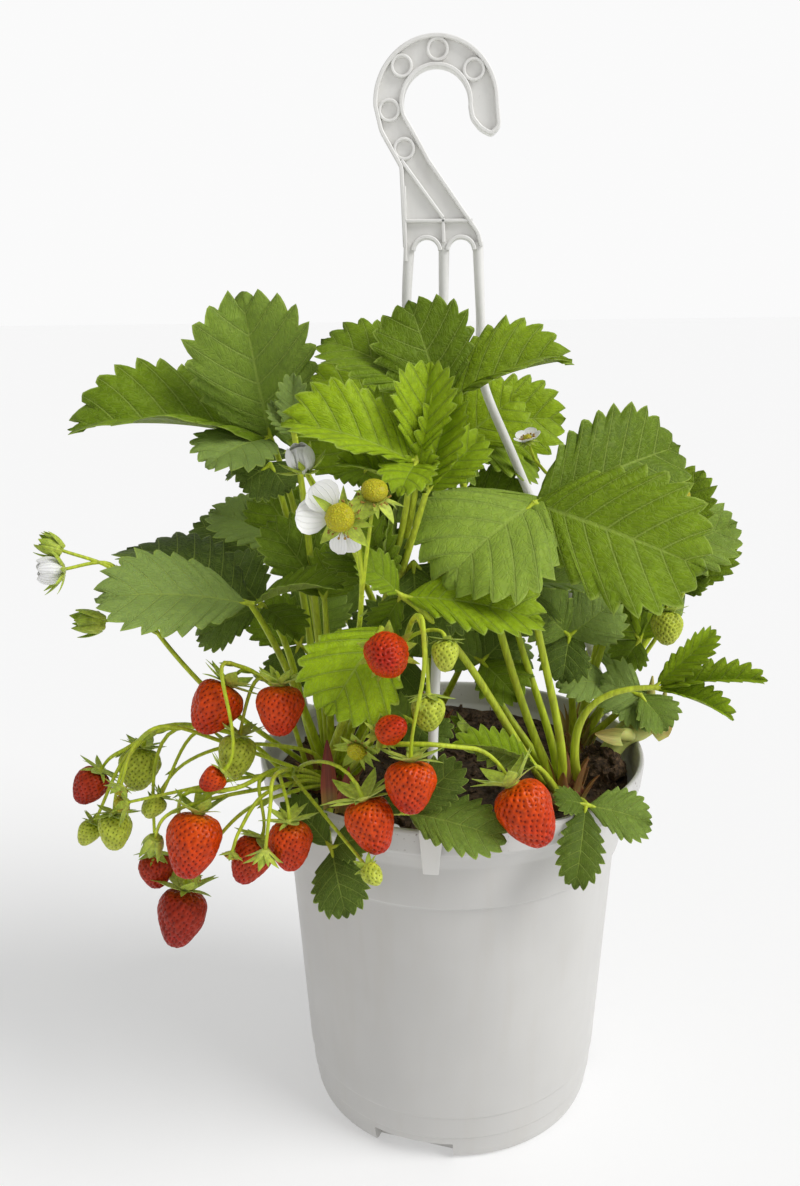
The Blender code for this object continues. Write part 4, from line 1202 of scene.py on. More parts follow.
def leaflet(foot, tip, width, facing, fold, kind, name):
    """One toothed, veined and pleated leaflet as a thin closed shell, both skins apart.

    Rows follow the side veins from the midrib to the margin, so that each vein ends in a
    tooth and the pleats lie between the veins."""
    tone, bloom, pleat, cup = KINDS[kind]
    chance = dice(name)
    look = settings().leaf
    width = width * look.breadth
    run = vec(tip) - vec(foot)
    length = np.linalg.norm(run)
    forward = unit(run)
    upward = across(FACINGS[facing], run)
    right = np.cross(forward, upward)
    teeth = int(round(5.4 + length * 0.046))
    rows, step = margin_rows(teeth)
    margin = Margin(length, width / 2)
    depth = look.tooth_depth * step * margin.length
    margin = Margin(length - 0.6 * depth, width / 2)
    share, height, vein, size = rows.T
    outline = margin.at(share)
    ahead = margin.direction(share)
    away = np.column_stack((ahead[:, 1], -ahead[:, 0]))
    lean = np.where(vein > teeth + 1 - TOOTH_TIP, 0.0, TOOTH_LEAN)
    edges = {}
    for side in (-1, 1):
        depths = depth * size * (1 + 0.2 * chance.standard_normal(len(rows)) * (height > 0.9))
        edges[side] = (outline + away * (depths * (height - 0.4))[:, None]
                       + ahead * (depths * lean * height)[:, None])
    start = outline[:, 1] - VEIN_SLOPE * outline[:, 0]

    gap = step * margin.length
    off_vein = 2 * np.abs(vein - np.round(vein))
    swell = 1 - (1 - off_vein) ** 1.7
    waves = chance.uniform(0, 2 * math.pi, 4)
    turn = math.radians(fold)
    softness = 0.03 * width

    def skin(side, t):
        """Points of one half at a share t of the way out along each vein."""
        edge = edges[side]
        x = np.abs(edge[:, 0]) * t
        y = start + (edge[:, 1] - start) * (0.74 * t + 0.26 * t * t)
        lift = pleat * gap * swell * ease(t, 0.0, 0.3) * (1 - 0.45 * t) * np.minimum(size, 1)
        lift = lift + cup * x * x / (width / 2) - 0.045 * width * t ** 5
        lift = lift + 0.024 * width * t * t * np.sin(0.9 * vein + waves[0 if side > 0 else 1])
        lift = lift + 0.014 * width * t * np.sin(2.1 * vein + waves[2 if side > 0 else 3])
        bent = np.sqrt(x * x + softness * softness) - softness
        place = np.clip(y / length, 0, 1)
        rise = lift * math.cos(turn) + math.sin(turn) * bent + ARCHING * length * 4 * place * (1 - place)
        reach = x * math.cos(turn) - lift * math.sin(turn) * np.clip(x / 3, 0, 1)
        return np.column_stack((side * np.maximum(reach, x * 0.3), y, rise))

    columns = [(-1, t) for t in ACROSS[:0:-1]] + [(1, t) for t in ACROSS]
    grid = np.stack([skin(side, t) for side, t in columns], axis=1)
    count_rows, count_columns = grid.shape[:2]
    shares = np.array([t for _, t in columns])
    thick = look.thickness / MM * (1 - 0.4 * shares ** 3)
    rib = 1.0 * np.exp(-(shares / 0.05) ** 2)
    place = np.clip(grid[:, :, 1] / length, 0, 1)
    under = grid.copy()
    under[:, :, 2] -= thick + rib * (1.1 - place) * min(1.0, width / 40)
    tip_end = np.array((0.0, length, 0.0))
    ends = np.array(((0, 0, 0), (0, 0, -0.5), tip_end, tip_end - (0, 0, thick[-1])), float)

    flat = np.concatenate((grid.reshape(-1, 3), under.reshape(-1, 3), ends))
    world = (vec(foot) + np.outer(flat[:, 0], right) + np.outer(flat[:, 1], forward)
             + np.outer(flat[:, 2], upward))
    outs = np.tile(shares, count_rows)
    veins = np.repeat(vein, count_columns)
    values = {
        "across": np.concatenate((outs, outs, (0, 0, 0, 0))),
        "vein": np.concatenate((veins, veins, (0, 0, teeth + 1, teeth + 1))),
        "tone": tone + 0.05 * chance.standard_normal(),
        "bloom": bloom,
    }
    total = count_rows * count_columns
    tops, belows = leaf_faces(count_rows, count_columns, total)
    return world, tops, belows, values


def leaf_faces(rows, columns, total):
    """Faces of a shell of two grids with an end point each at foot and tip."""
    foot, foot_under, tip, tip_under = range(2 * total, 2 * total + 4)
    tops, belows = [], []
    for row in range(rows - 1):
        for column in range(columns - 1):
            a = row * columns + column
            tops.append((a, a + 1, a + columns + 1, a + columns))
            belows.append((total + a, total + a + columns, total + a + columns + 1, total + a + 1))
    last = (rows - 1) * columns
    for column in range(columns - 1):
        tops.append((foot, column + 1, column))
        belows.append((foot_under, total + column, total + column + 1))
        tops.append((last + column, last + column + 1, tip))
        belows.append((total + last + column + 1, total + last + column, tip_under))
    right = [foot] + [row * columns + columns - 1 for row in range(rows)] + [tip]
    left = [foot] + [row * columns for row in range(rows)] + [tip]
    below = {foot: foot_under, tip: tip_under}
    for first, second in zip(right, right[1:]):
        tops.append((first, below.get(first, first + total), below.get(second, second + total), second))
    for first, second in zip(left, left[1:]):
        tops.append((first, second, below.get(second, second + total), below.get(first, first + total)))
    return tops, belows


def crown_centre(crown):
    """A crown's middle at the soil's surface."""
    (x, y), _ = CROWNS[crown]
    return vec((x, y, SOIL_LEVEL))


def stem_foot(node, crown):
    """Where the frame's stem leaves its crown, and its direction there."""
    centre = crown_centre(crown)
    points = node_points(node)
    far = np.linalg.norm(points - centre, axis=1)
    foot = np.unique(points[far < far.min() + 0.4].round(3), axis=0).mean(0)
    return foot, unit(foot - centre)


def petiole_route(foot, way, meeting, leaflets, arched, count=20):
    """A leaf stalk's curve, from inside its crown to where the leaflets meet."""
    meeting = vec(meeting)
    reach = np.linalg.norm(meeting - foot)
    if arched:
        over = meeting - vec((reach * 0.5, 0, 0))
        curve = bezier(foot, foot + vec((-0.1, 0, 0.55)) * reach, over, meeting, count)
    else:
        heading = unit(np.mean([unit(vec(row[0]) - meeting) for row in leaflets], axis=0))
        arrive = unit(unit(meeting - foot) + 0.35 * heading)
        curve = bezier(foot, foot + way * reach * 0.3, meeting - arrive * reach * 0.3, meeting, count)
    return np.vstack((foot - way * ROOTED, curve))


def grow_leaf(name, meeting, leaflets, foot, way):
    """A petiole with its leaflets as one piece."""
    shape = Shape()
    route = petiole_route(foot, way, meeting, leaflets, name in ARCHED)
    count = len(route)
    thick = settings().leaf.petiole_radius / MM
    radii = taper(count, (0, 0.06, 0.16, 1), (1.5 * thick, 1.25 * thick, thick, 0.6 * thick))
    stalk_tone = 0.35 + 0.5 * float(np.mean([KINDS[row[4]][0] for row in leaflets]))
    shape.add(*tube(route, radii), stalk_skin(), vein=tube_places(count), tone=stalk_tone)
    meeting = vec(meeting)
    for index, (tip, width, facing, fold, kind) in enumerate(leaflets):
        way_out = unit(vec(tip) - meeting)
        stub = PETIOLULE * min(1.0, width / 30)
        foot_point = meeting + way_out * stub
        sag = bezier(meeting - way_out * 0.6, meeting + way_out * stub * 0.3,
                     foot_point, foot_point + way_out * 3, 5)
        radii = [share * thick for share in (0.6, 0.55, 0.45, 0.36, 0.15)]
        shape.add(*tube(sag, radii), stalk_skin(), vein=1.0, tone=stalk_tone)
        points, tops, belows, values = leaflet(foot_point, tip, width, facing, fold, kind, f"{name}{index}")
        shape.add(points, tops, leaf_top(), **values)
        shape.cover(belows, leaf_under(), shape.count - len(points))
    return shape.to_object(f"leaf_{name}_blades")


# ---- sepals, petals, scales and what carries them ----
# outlines from foot to tip: (place, share of the breadth)
SEPAL = ((0, 0.62), (0.2, 0.92), (0.4, 1.0), (0.65, 0.72), (0.85, 0.34), (1, 0.04))
NARROW_SEPAL = ((0, 0.8), (0.3, 1.0), (0.6, 0.8), (0.85, 0.4), (1, 0.06))
PETAL = ((0, 0.14), (0.1, 0.36), (0.3, 0.80), (0.55, 1.0), (0.78, 0.93), (0.92, 0.66), (1, 0.22))
SCALE = ((0, 0.95), (0.4, 1.0), (0.7, 0.7), (0.9, 0.35), (1, 0.08))


def blade(outline, length, width, curl, trough, thickness, material, tone=0.5, rows=8, columns=5, wave=0.0):
    """A small blade as a mesh of its own: foot at the origin, tip along Y, upper side to Z.

    curl bends the tip up by so many degrees, trough lifts the sides as a share of the width."""
    places = np.linspace(0, 1, rows)
    sides = np.linspace(-1, 1, columns)
    half = width / 2 * np.interp(places, [p for p, _ in outline], [w for _, w in outline])
    bend = np.radians(curl) * places
    step = length / (rows - 1)
    y, z = running(np.cos(bend[1:]) * step), running(np.sin(bend[1:]) * step)
    grid = np.zeros((rows, columns, 3))
    normal = np.column_stack((np.zeros(rows), -np.sin(bend), np.cos(bend)))
    lift = trough * np.outer(half, sides ** 2) + wave * width * np.outer(places, np.sin(3.0 * sides + 1.0))
    grid[:, :, 0] = np.outer(half, sides)
    grid[:, :, 1] = y[:, None]
    grid[:, :, 2] = z[:, None]
    grid += normal[:, None, :] * lift[:, :, None]
    under = grid - normal[:, None, :] * thickness * (1 - 0.6 * places)[:, None, None]
    total = rows * columns
    points = np.concatenate((grid.reshape(-1, 3), under.reshape(-1, 3)))
    faces = []
    for row in range(rows - 1):
        for column in range(columns - 1):
            a = row * columns + column
            faces.append((a, a + 1, a + columns + 1, a + columns))
            faces.append((total + a, total + a + columns, total + a + columns + 1, total + a + 1))
    rim = list(range(columns))
    rim += [row * columns + columns - 1 for row in range(1, rows)]
    rim += [(rows - 1) * columns + column for column in range(columns - 2, -1, -1)]
    rim += [row * columns for row in range(rows - 2, 0, -1)]
    for first, second in zip(rim, rim[1:] + rim[:1]):
        faces.append((second, first, first + total, second + total))
    shape = Shape()
    shape.add(points, faces, material, across=np.tile(np.abs(sides), 2 * rows),
              vein=np.tile(np.repeat(places, columns), 2), tone=tone)
    return shape.to_mesh("blade", 60)


def sepal(outline, length, width, curl, trough, tone, rows=8):
    """A green blade of a calyx."""
    return blade(outline, length, width, curl, trough, 0.3, sepal_skin(), tone, rows)


def petal(length, width, curl, trough, rows=12, columns=9, wave=0.0):
    """A white petal."""
    return blade(PETAL, length, width, curl, trough, 0.3, petal_skin(), rows=rows, columns=columns, wave=wave)


def standing(centre, axis, toward=(0.05, 0.1, 1.0)):
    """A place in millimetres whose Z runs along the axis and whose Y leans toward a direction."""
    z = unit(axis)
    if abs(unit(toward) @ z) > 0.97:
        toward = (0.1, 1.0, 0.05)
    y = across(toward, z)
    return placed(centre, np.cross(y, z), y, z)


def spun(angle):
    """A turn round Z, in radians."""
    return Matrix.Rotation(angle, 4, "Z")


def add_whorl(shape, place, mesh, count, radius, tilt, seed, tilt_spread, turn_spread, smallest):
    """Copies of a blade in a ring round a place's Z, tilted up from level by so many degrees."""
    shape.add_mesh(grown(whorl_tree, mesh, count=count, radius=radius * MM, tilt=math.radians(tilt),
                         seed=seed, tilt_spread=math.radians(tilt_spread),
                         turn_spread=math.radians(turn_spread), smallest=smallest,
                         material=mesh.materials[0]), place)


def add_calyx(shape, centre, axis, size, tilt, seed, tone):
    """Two rings of sepals, a broad and a narrow one, round the end of a stalk."""
    count = 5
    place = standing(centre, axis)
    chance = np.random.default_rng(seed)
    broad = sepal(SEPAL, size, size * 0.46, 16, 0.25, tone, 7)
    narrow = blade(NARROW_SEPAL, size * 1.04, size * 0.26, -12, 0.2, 0.25, sepal_skin(),
                   min(1, tone + 0.25), rows=6, columns=3)
    add_whorl(shape, place, broad, count, size * 0.1, tilt, seed, 12, 12, 0.78)
    twist = spun(math.pi / count + chance.uniform(-0.2, 0.2))
    add_whorl(shape, place @ twist, narrow, count, size * 0.08, tilt + 7, seed + 3, 14, 14, 0.7)
    hub = ((0, -0.6), (size * 0.16, -0.5), (size * 0.2, 0.0), (size * 0.13, 0.5), (0.6, 1.0), (0, 1.1))
    shape.add(*lathe(hub, 10, centre, axis), sepal_skin(), across=0.4, vein=0.1, tone=tone)


# ---- berries ----
FRUIT_OUTLINE = ((0.0, 0.0), (0.55, 0.03), (0.86, 0.12), (1.0, 0.34), (0.80, 0.66), (0.42, 0.92), (0.0, 1.0))
GOLDEN_ANGLE = math.radians(137.508)


class Fruit:
    """A berry's flesh: a lumpy cone whose seeds lie in pits along two spirals."""

    def __init__(self, centre, axis, diameter, length, ripeness, name):
        self.chance = dice(name)
        self.axis = unit(axis)
        self.top = vec(centre) - self.axis * length / 2
        self.first = across((1.0, 0.1, 0.2), self.axis)
        self.second = np.cross(self.axis, self.first)
        self.diameter, self.length, self.ripeness = diameter, length, ripeness
        line = smooth_route([(diameter / 2 * r, length * h) for r, h in FRUIT_OUTLINE], 12)
        line[:, 0] = np.maximum(line[:, 0], 0)
        self.line, self.reached = line, lengths_along(line)
        self.phases = self.chance.uniform(0, 2 * math.pi, 5)

    def spot(self, distance, turn):
        """Points on the smooth flesh at a distance along the outline from the calyx."""
        radius = np.interp(distance, self.reached, self.line[:, 0])
        height = np.interp(distance, self.reached, self.line[:, 1])
        side = np.sin(np.pi * np.clip(height / self.length, 0, 1))
        lump = (0.040 * np.sin(2 * turn + self.phases[0]) + 0.028 * np.sin(3 * turn + self.phases[1])
                + 0.022 * np.sin(5 * turn + self.phases[2] + 0.5 * height))
        radius = radius * (1 + side * lump)
        spoke = spokes(turn, self.first, self.second)
        return self.top + spoke * radius[..., None] + np.multiply.outer(height, self.axis)

    def normal(self, distance, turn):
        """Unit vectors out of the flesh and down along it to the tip."""
        far = self.reached[-1]
        low, high = np.clip(distance - 0.25, 0, far), np.clip(distance + 0.25, 0, far)
        down = self.spot(high, turn) - self.spot(low, turn)
        around = self.spot(distance, turn + 0.03) - self.spot(distance, turn - 0.03)
        out = np.cross(around, down)
        return (out / np.maximum(np.linalg.norm(out, axis=-1), 1e-9)[..., None],
                down / np.maximum(np.linalg.norm(down, axis=-1), 1e-9)[..., None])

    def sites(self, gap):
        """Distances and turns of the seeds, evenly spread by area."""
        fine = np.linspace(0, self.reached[-1], 300)
        radius = np.interp(fine[1:], self.reached, self.line[:, 0])
        area = running(radius * np.diff(fine))
        count = int(2 * math.pi * area[-1] / (0.90 * gap * gap))
        share = (np.arange(count) + 0.5) / count
        distance = np.interp(share * area[-1], area, fine)
        turn = np.arange(count) * GOLDEN_ANGLE
        turn = turn + self.chance.normal(0, 0.04, count)
        keep = (distance > self.diameter * 0.16) & (distance < self.reached[-1] - 0.5)
        return distance[keep], turn[keep]

    def add_to(self, shape):
        """Adds the pitted flesh and a seed in each pit."""
        look = settings().fruit
        gap = look.seed_gap / MM * (0.62 + 0.38 * min(self.diameter / 19, 1.1))
        depth = look.pit_depth / MM * min(1.0, self.diameter / 16)
        sides = max(24, int(round(math.pi * self.diameter / (0.24 * gap))))
        rows = max(14, int(round(self.reached[-1] / (0.22 * gap))))
        distance = np.linspace(0, self.reached[-1], rows + 1)[1:-1]
        turns = circle(sides)
        far, angle = np.meshgrid(distance, turns, indexing="ij")
        points = self.spot(far, angle)
        out, _ = self.normal(far, angle)
        site_far, site_turn = self.sites(gap)
        seats = self.spot(site_far, site_turn)
        seat_out, seat_down = self.normal(site_far, site_turn)
        pit = np.zeros(points.shape[:2])
        for seat, down in zip(seats, seat_down):
            apart = points - seat
            lengthwise = apart @ down
            sideways = np.maximum((apart ** 2).sum(-1) - lengthwise ** 2, 0)
            pit = np.maximum(pit, np.exp(-sideways / (0.16 * gap) ** 2 - lengthwise ** 2 / (0.24 * gap) ** 2))
        points = points - out * (pit ** 0.42 * depth)[..., None]
        body, faces = loft(list(points))
        body[-2] = self.top
        body[-1] = self.top + self.axis * self.length
        run = np.concatenate(((far / self.reached[-1]).ravel(), (0.0, 1.0)))
        shape.add(body, faces, fruit_skin(), across=np.concatenate((pit.ravel(), (0, 0))), vein=run,
                  tone=self.ripeness)
        seats = seats - seat_out * depth * 0.75
        cloud = bpy.data.meshes.new("seats")
        cloud.from_pydata((seats * MM).tolist(), [], [])
        for label, ways in (("outward", seat_out), ("tipward", seat_down)):
            line = cloud.attributes.new(label, "FLOAT_VECTOR", "POINT")
            line.data.foreach_set("vector", ways.astype(np.float32).ravel())
        size = MM * gap / 2.3
        seeds = grown(seed_tree, cloud, length=0.40 * size, width=0.20 * size, height=0.17 * size,
                      material=seed_skin())
        tone = seeds.attributes.new("tone", "FLOAT", "POINT")
        tone.data.foreach_set("value", [self.ripeness] * len(seeds.vertices))
        shape.add_mesh(seeds)


def grow_berry(name, centre, axis, diameter, length, ripeness, tilt):
    """A berry with its calyx, on the end of its stalk."""
    shape = Shape()
    fruit = Fruit(centre, axis, diameter, length, ripeness, name)
    fruit.add_to(shape)
    size = diameter * fruit.chance.uniform(0.62, 0.8)
    tone = 0.68 + 0.32 * fruit.chance.random()
    seed = int(fruit.chance.integers(1000))
    add_calyx(shape, fruit.top - fruit.axis * 0.4, -fruit.axis, size, tilt, seed, tone)
    return shape.to_object(f"berry_{name}_fruit", 60)


# ---- fruit stalks ----
def truss_curve(name, crown, knots):
    """A main stalk's route and its direction where it leaves the crown."""
    foot, way = stem_foot("truss_" + name, crown)
    return smooth_route([foot, foot + way * 1.5, foot + way * 9, *knots], 6), way


# points along a twig
TWIG_POINTS = 12


def twig_curve(route, place, end, arrival):
    """A twig that leaves the stalk at a place along it and arrives at its end from a direction."""
    start, ahead = along(route, place)
    end = vec(end)
    pull = np.linalg.norm(end - start) * 0.35
    return bezier(start, start + ahead * pull, end - unit(arrival) * pull, end, TWIG_POINTS)


def add_stem(shape, curve, radii, tone):
    """A fruit stalk, a tube that isn't red at its foot as a leaf stalk is."""
    shape.add(*tube(curve, radii), stalk_skin(), vein=tube_places(len(curve)) * 0.85 + 0.15, tone=tone)


def add_bract(shape, curve, place, length, seed):
    """A small pointed bract where a twig leaves the stalk."""
    here, ahead = along(curve, place)
    chance = np.random.default_rng(seed)
    lean = across(chance.normal(size=3), ahead)
    mesh = sepal(NARROW_SEPAL, length, length * 0.3, 20, 0.35, 0.6, 6)
    shape.add_mesh(mesh, basis(here + lean * 0.6, ahead + lean * 0.7, -lean))


def add_fruitlet(shape, end, axis, size, seed):
    """A small green berry."""
    fruit = Fruit(end, axis, size * 0.86, size, 0.0, f"fruitlet{seed}")
    fruit.add_to(shape)
    add_calyx(shape, fruit.top, -unit(axis), size * 0.62, 12, seed, 0.5)


def add_bud(shape, end, axis, size, seed):
    """Pointed sepals closed over the petals."""
    axis = unit(axis)
    foot = vec(end) - axis * size * 0.5
    egg = ((0, 0), (0.24, 0.03), (0.38, 0.2), (0.36, 0.45), (0.2, 0.75), (0, 0.9))
    egg = [(size * r, size * h) for r, h in egg]
    shape.add(*lathe(egg, 12, foot, axis), sepal_skin(), across=0.3, vein=0.4, tone=0.7)
    place = standing(foot, axis)
    outer = sepal(SEPAL, size * 1.08, size * 0.62, 46, 0.5, 0.55, 9)
    add_whorl(shape, place, outer, 5, size * 0.22, 58, seed, 5, 8, 0.9)
    inner = sepal(NARROW_SEPAL, size * 1.0, size * 0.34, 40, 0.4, 0.85)
    add_whorl(shape, place @ spun(0.6), inner, 5, size * 0.27, 52, seed + 5, 8, 12, 0.8)


def add_closed_petals(shape, end, axis, size, seed):
    """A flower just opening: white petals folded over each other above pointed sepals."""
    axis = unit(axis)
    foot = vec(end) - axis * size * 0.5
    place = standing(foot, axis)
    ball = ((0, 0.1), (0.22, 0.12), (0.40, 0.34), (0.42, 0.58), (0.28, 0.84), (0, 0.94))
    ball = [(size * r, size * h) for r, h in ball]
    shape.add(*lathe(ball, 16, foot, axis), petal_skin(), across=0.5, vein=0.8)
    folded = petal(size * 1.2, size * 0.8, 96, 0.45)
    add_whorl(shape, place, folded, 5, size * 0.22, 34, seed, 5, 10, 0.9)
    outer = sepal(SEPAL, size * 1.1, size * 0.34, 34, 0.4, 0.95)
    add_whorl(shape, place, outer, 10, size * 0.16, 18, seed + 2, 18, 14, 0.75)
    base = ((0, -0.6), (size * 0.12, -0.4), (size * 0.2, 0.3), (0.8, 1.2), (0, 1.3))
    shape.add(*lathe(base, 10, foot, axis), sepal_skin(), across=0.4, vein=0.1, tone=0.6)


def add_stamens(shape, place, radius, count, seed, tilt, length):
    """Filaments with an anther each, in a ring."""
    parts = Shape()
    filament = [(0, 0, 0), (0, length * 0.5, 0.1), (0, length, 0.3)]
    parts.add(*tube(filament, (0.16, 0.13, 0.11), 5), anther_skin())
    anther = ((0, -0.45), (0.36, -0.36), (0.5, 0.0), (0.36, 0.36), (0, 0.45))
    parts.add(*lathe(anther, 6, (0, length + 0.2, 0.3), (0.1, 1, 0.4)), anther_skin())
    add_whorl(shape, place, parts.to_mesh("stamen", 60), count, radius, tilt, seed, 20, 12, 0.7)


KNOBS, KNOB_HEIGHT, KNOB_RADIUS = 170, 0.28, 0.6


def add_heart(shape, centre, axis, radius, height, seed):
    """The cone of a flower, covered in small knobs."""
    chance = np.random.default_rng(seed)
    rows, sides = 18, 36
    profile = [(0.0, 0.0)]
    for turn in np.linspace(8, 172, rows):
        rise = math.radians(turn)
        profile.append((radius * math.sin(rise) ** 0.8, height * (1 - math.cos(rise)) / 2))
    profile.append((0.0, height))
    points, faces = lathe(profile, sides, centre, axis)
    out = units(points - vec(centre) - unit(axis) * height / 2)
    near = np.full(len(points), 9.0)
    for knob in units(chance.normal(size=(KNOBS, 3))) * radius:
        near = np.minimum(near, np.linalg.norm(out * radius - knob, axis=1))
    swell = KNOB_HEIGHT * (1 - np.clip(near / KNOB_RADIUS, 0, 1))
    points = points + out * swell[:, None]
    run = np.clip((points - vec(centre)) @ unit(axis) / height, 0, 1)
    shape.add(points, faces, heart_skin(), vein=run)


def add_calyx_alone(shape, end, axis, size, seed):
    """A small open calyx whose petals have dropped."""
    axis = unit(axis)
    add_calyx(shape, vec(end), axis, size * 0.62, 16, seed, 0.7)
    add_heart(shape, vec(end) + axis * 0.2, axis, size * 0.22, size * 0.3, seed)
    add_stamens(shape, standing(vec(end) + axis * 0.3, axis), size * 0.2, 12, seed, 40, 1.4)


def add_spent(shape, end, axis, size, seed):
    """A flower that has dropped its petals: swollen cone, brown stamens, bent back sepals."""
    axis = unit(axis)
    foot = vec(end) - axis * size * 0.25
    add_heart(shape, foot, axis, size * 0.40, size * 0.62, seed)
    place = standing(foot + axis * 0.4, axis)
    add_stamens(shape, place, size * 0.34, 20, seed, 22, 1.9)
    pale = sepal(SEPAL, size * 0.85, size * 0.4, -35, 0.2, 1.0)
    add_whorl(shape, place, pale, 5, size * 0.2, -18, seed + 2, 12, 8, 0.85)
    narrow = sepal(NARROW_SEPAL, size * 0.8, size * 0.24, -10, 0.2, 0.8, 7)
    add_whorl(shape, place @ spun(0.6), narrow, 5, size * 0.2, -8, seed + 4, 14, 10, 0.8)


def add_hanging_calyx(shape, end, axis, size, seed):
    """A pale calyx whose sepals hang down like a skirt."""
    axis = unit(axis)
    place = standing(vec(end) - axis * 2.0, axis)
    pale = sepal(SEPAL, size * 0.62, size * 0.26, -26, 0.3, 1.0, 9)
    add_whorl(shape, place, pale, 6, 0.8, 58, seed, 10, 10, 0.8)
    slim = sepal(NARROW_SEPAL, size * 0.5, size * 0.15, -10, 0.3, 0.9)
    add_whorl(shape, place @ spun(0.5), slim, 6, 1.0, 44, seed + 2, 10, 10, 0.8)


# what a twig can bear at its end
ENDS = {
    "fruitlet": add_fruitlet, "bud": add_bud, "petals": add_closed_petals, "calyx": add_calyx_alone,
    "spent": add_spent, "hanging": add_hanging_calyx,
}


def grow_truss(name, crown, knots, twigs):
    """A fruiting stalk, its twigs and the small buds and fruit on them."""
    shape = Shape()
    chance = dice(name)
    route, way = truss_curve(name, crown, knots)
    tone = 0.45 + 0.2 * chance.random()
    radii = taper(len(route), (0, 0.08, 0.2, 1), (1.9, 1.5, 1.25, 0.8))
    add_stem(shape, np.vstack((route[0] - way * ROOTED, route)), np.concatenate(([2.0], radii)), tone)
    for index, (place, end, size, bears) in enumerate(twigs):
        start, _ = along(route, place)
        arrival = unit(vec(end) - start)
        radii = np.linspace(0.8, 0.62, TWIG_POINTS)
        add_stem(shape, twig_curve(route, place, end, arrival), radii, tone + 0.1)
        ENDS[bears](shape, end, arrival, size, 7 * index + len(name))
        add_bract(shape, route, place * 0.97, 6.5, index + 3)
    for berry, home, place, centre, axis, _, length, ripeness, _ in BERRIES:
        if home == name:
            end = vec(centre) - unit(axis) * (length / 2 + 0.6)
            radii = taper(TWIG_POINTS, (0, 0.85, 1), (0.85, 0.62, 0.9))
            add_stem(shape, twig_curve(route, place, end, axis), radii, tone + 0.15 * (1 - ripeness))
            add_bract(shape, route, place * 0.98, 5.5, len(berry))
    for _, home, place, centre, facing, diameter in FLOWERS:
        if home == name:
            end = vec(centre) - unit(facing) * (diameter * 0.14 + 0.2)
            radii = np.linspace(0.85, 0.7, TWIG_POINTS)
            add_stem(shape, twig_curve(route, place, end, facing), radii, tone + 0.1)
    return shape.to_object(f"truss_{name}_stalks", 60)


def grow_loose_stalks():
    """Thin stalks between the fruiting ones, each with a bud or an empty calyx."""
    shape = Shape()
    for index, (crown, knots, size, bears) in enumerate(LOOSE_STALKS):
        centre = crown_centre(crown)
        way = unit(vec(knots[0]) - centre)
        route = smooth_route([centre + way * 6.0, centre + way * 12.0, *knots], 7)
        add_stem(shape, route, taper(len(route), (0, 0.2, 1), (1.3, 0.95, 0.6)), 0.62)
        ENDS[bears](shape, route[-1], unit(route[-1] - route[-2]), size, 31 + index)
        add_bract(shape, route, 0.55, 7.5, index)
        add_bract(shape, route, 0.8, 5.0, index + 9)
    return shape.to_object("loose_stalks", 60)


# ---- flowers ----
def turned(degrees, tilt, out=0.0):
    """A turn round the flower's axis, a tilt up from its plane, and a step outwards."""
    return (spun(math.radians(degrees - 90)) @ Matrix.Rotation(math.radians(tilt), 4, "X")
            @ Matrix.Translation((0, out, 0)))


def lowered(place, depth):
    """A place moved down its own Z."""
    return place @ Matrix.Translation((0, 0, -depth))


def grow_open_flower(centre, facing, diameter):
    """A flower past its best: two petals still wide, two hanging, the cone swelling."""
    shape = Shape()
    place = standing(centre, facing)
    radius = diameter / 2
    wide = petal(radius * 0.86, radius * 0.92, 34, 0.14, 14, 11, 0.02)
    hanging = petal(radius * 0.66, radius * 0.5, -24, 0.2, wave=0.04)
    for turn, tilt, reach in ((182, 6, 0.34), (134, 16, 0.30)):
        shape.add_mesh(wide, place @ turned(turn, tilt, radius * reach))
    for turn, tilt in ((258, -24), (288, -32)):
        shape.add_mesh(hanging, place @ turned(turn, tilt, radius * 0.3))
    broad = sepal(SEPAL, radius * 0.92, radius * 0.40, -14, 0.25, 1.0, 9)
    slim = sepal(SEPAL, radius * 0.88, radius * 0.26, 10, 0.3, 0.8, 9)
    behind = lowered(place, 0.8)
    for turn, tilt in ((222, -12), (318, -16), (60, -4)):
        shape.add_mesh(broad, behind @ turned(turn, tilt))
    for turn, tilt in ((352, 4), (96, 0), (20, -10)):
        shape.add_mesh(slim, behind @ turned(turn, tilt))
    shape.add_mesh(slim, place @ turned(146, 26, radius * 0.1))
    axis = unit(facing)
    add_heart(shape, vec(centre) - axis * 0.6, axis, radius * 0.37, radius * 0.58, 5)
    add_stamens(shape, place, radius * 0.33, 20, 9, 20, 2.0)
    base = ((0, -diameter * 0.14), (1.0, -diameter * 0.13), (radius * 0.26, -0.9), (radius * 0.3, 0.0),
            (0, 0.4))
    shape.add(*lathe(base, 12, centre, facing), sepal_skin(), across=0.4, vein=0.15, tone=0.6)
    return shape


def grow_opening_flower(centre, facing, diameter):
    """A flower whose petals are still folded."""
    shape = Shape()
    add_closed_petals(shape, centre, facing, diameter, 12)
    return shape


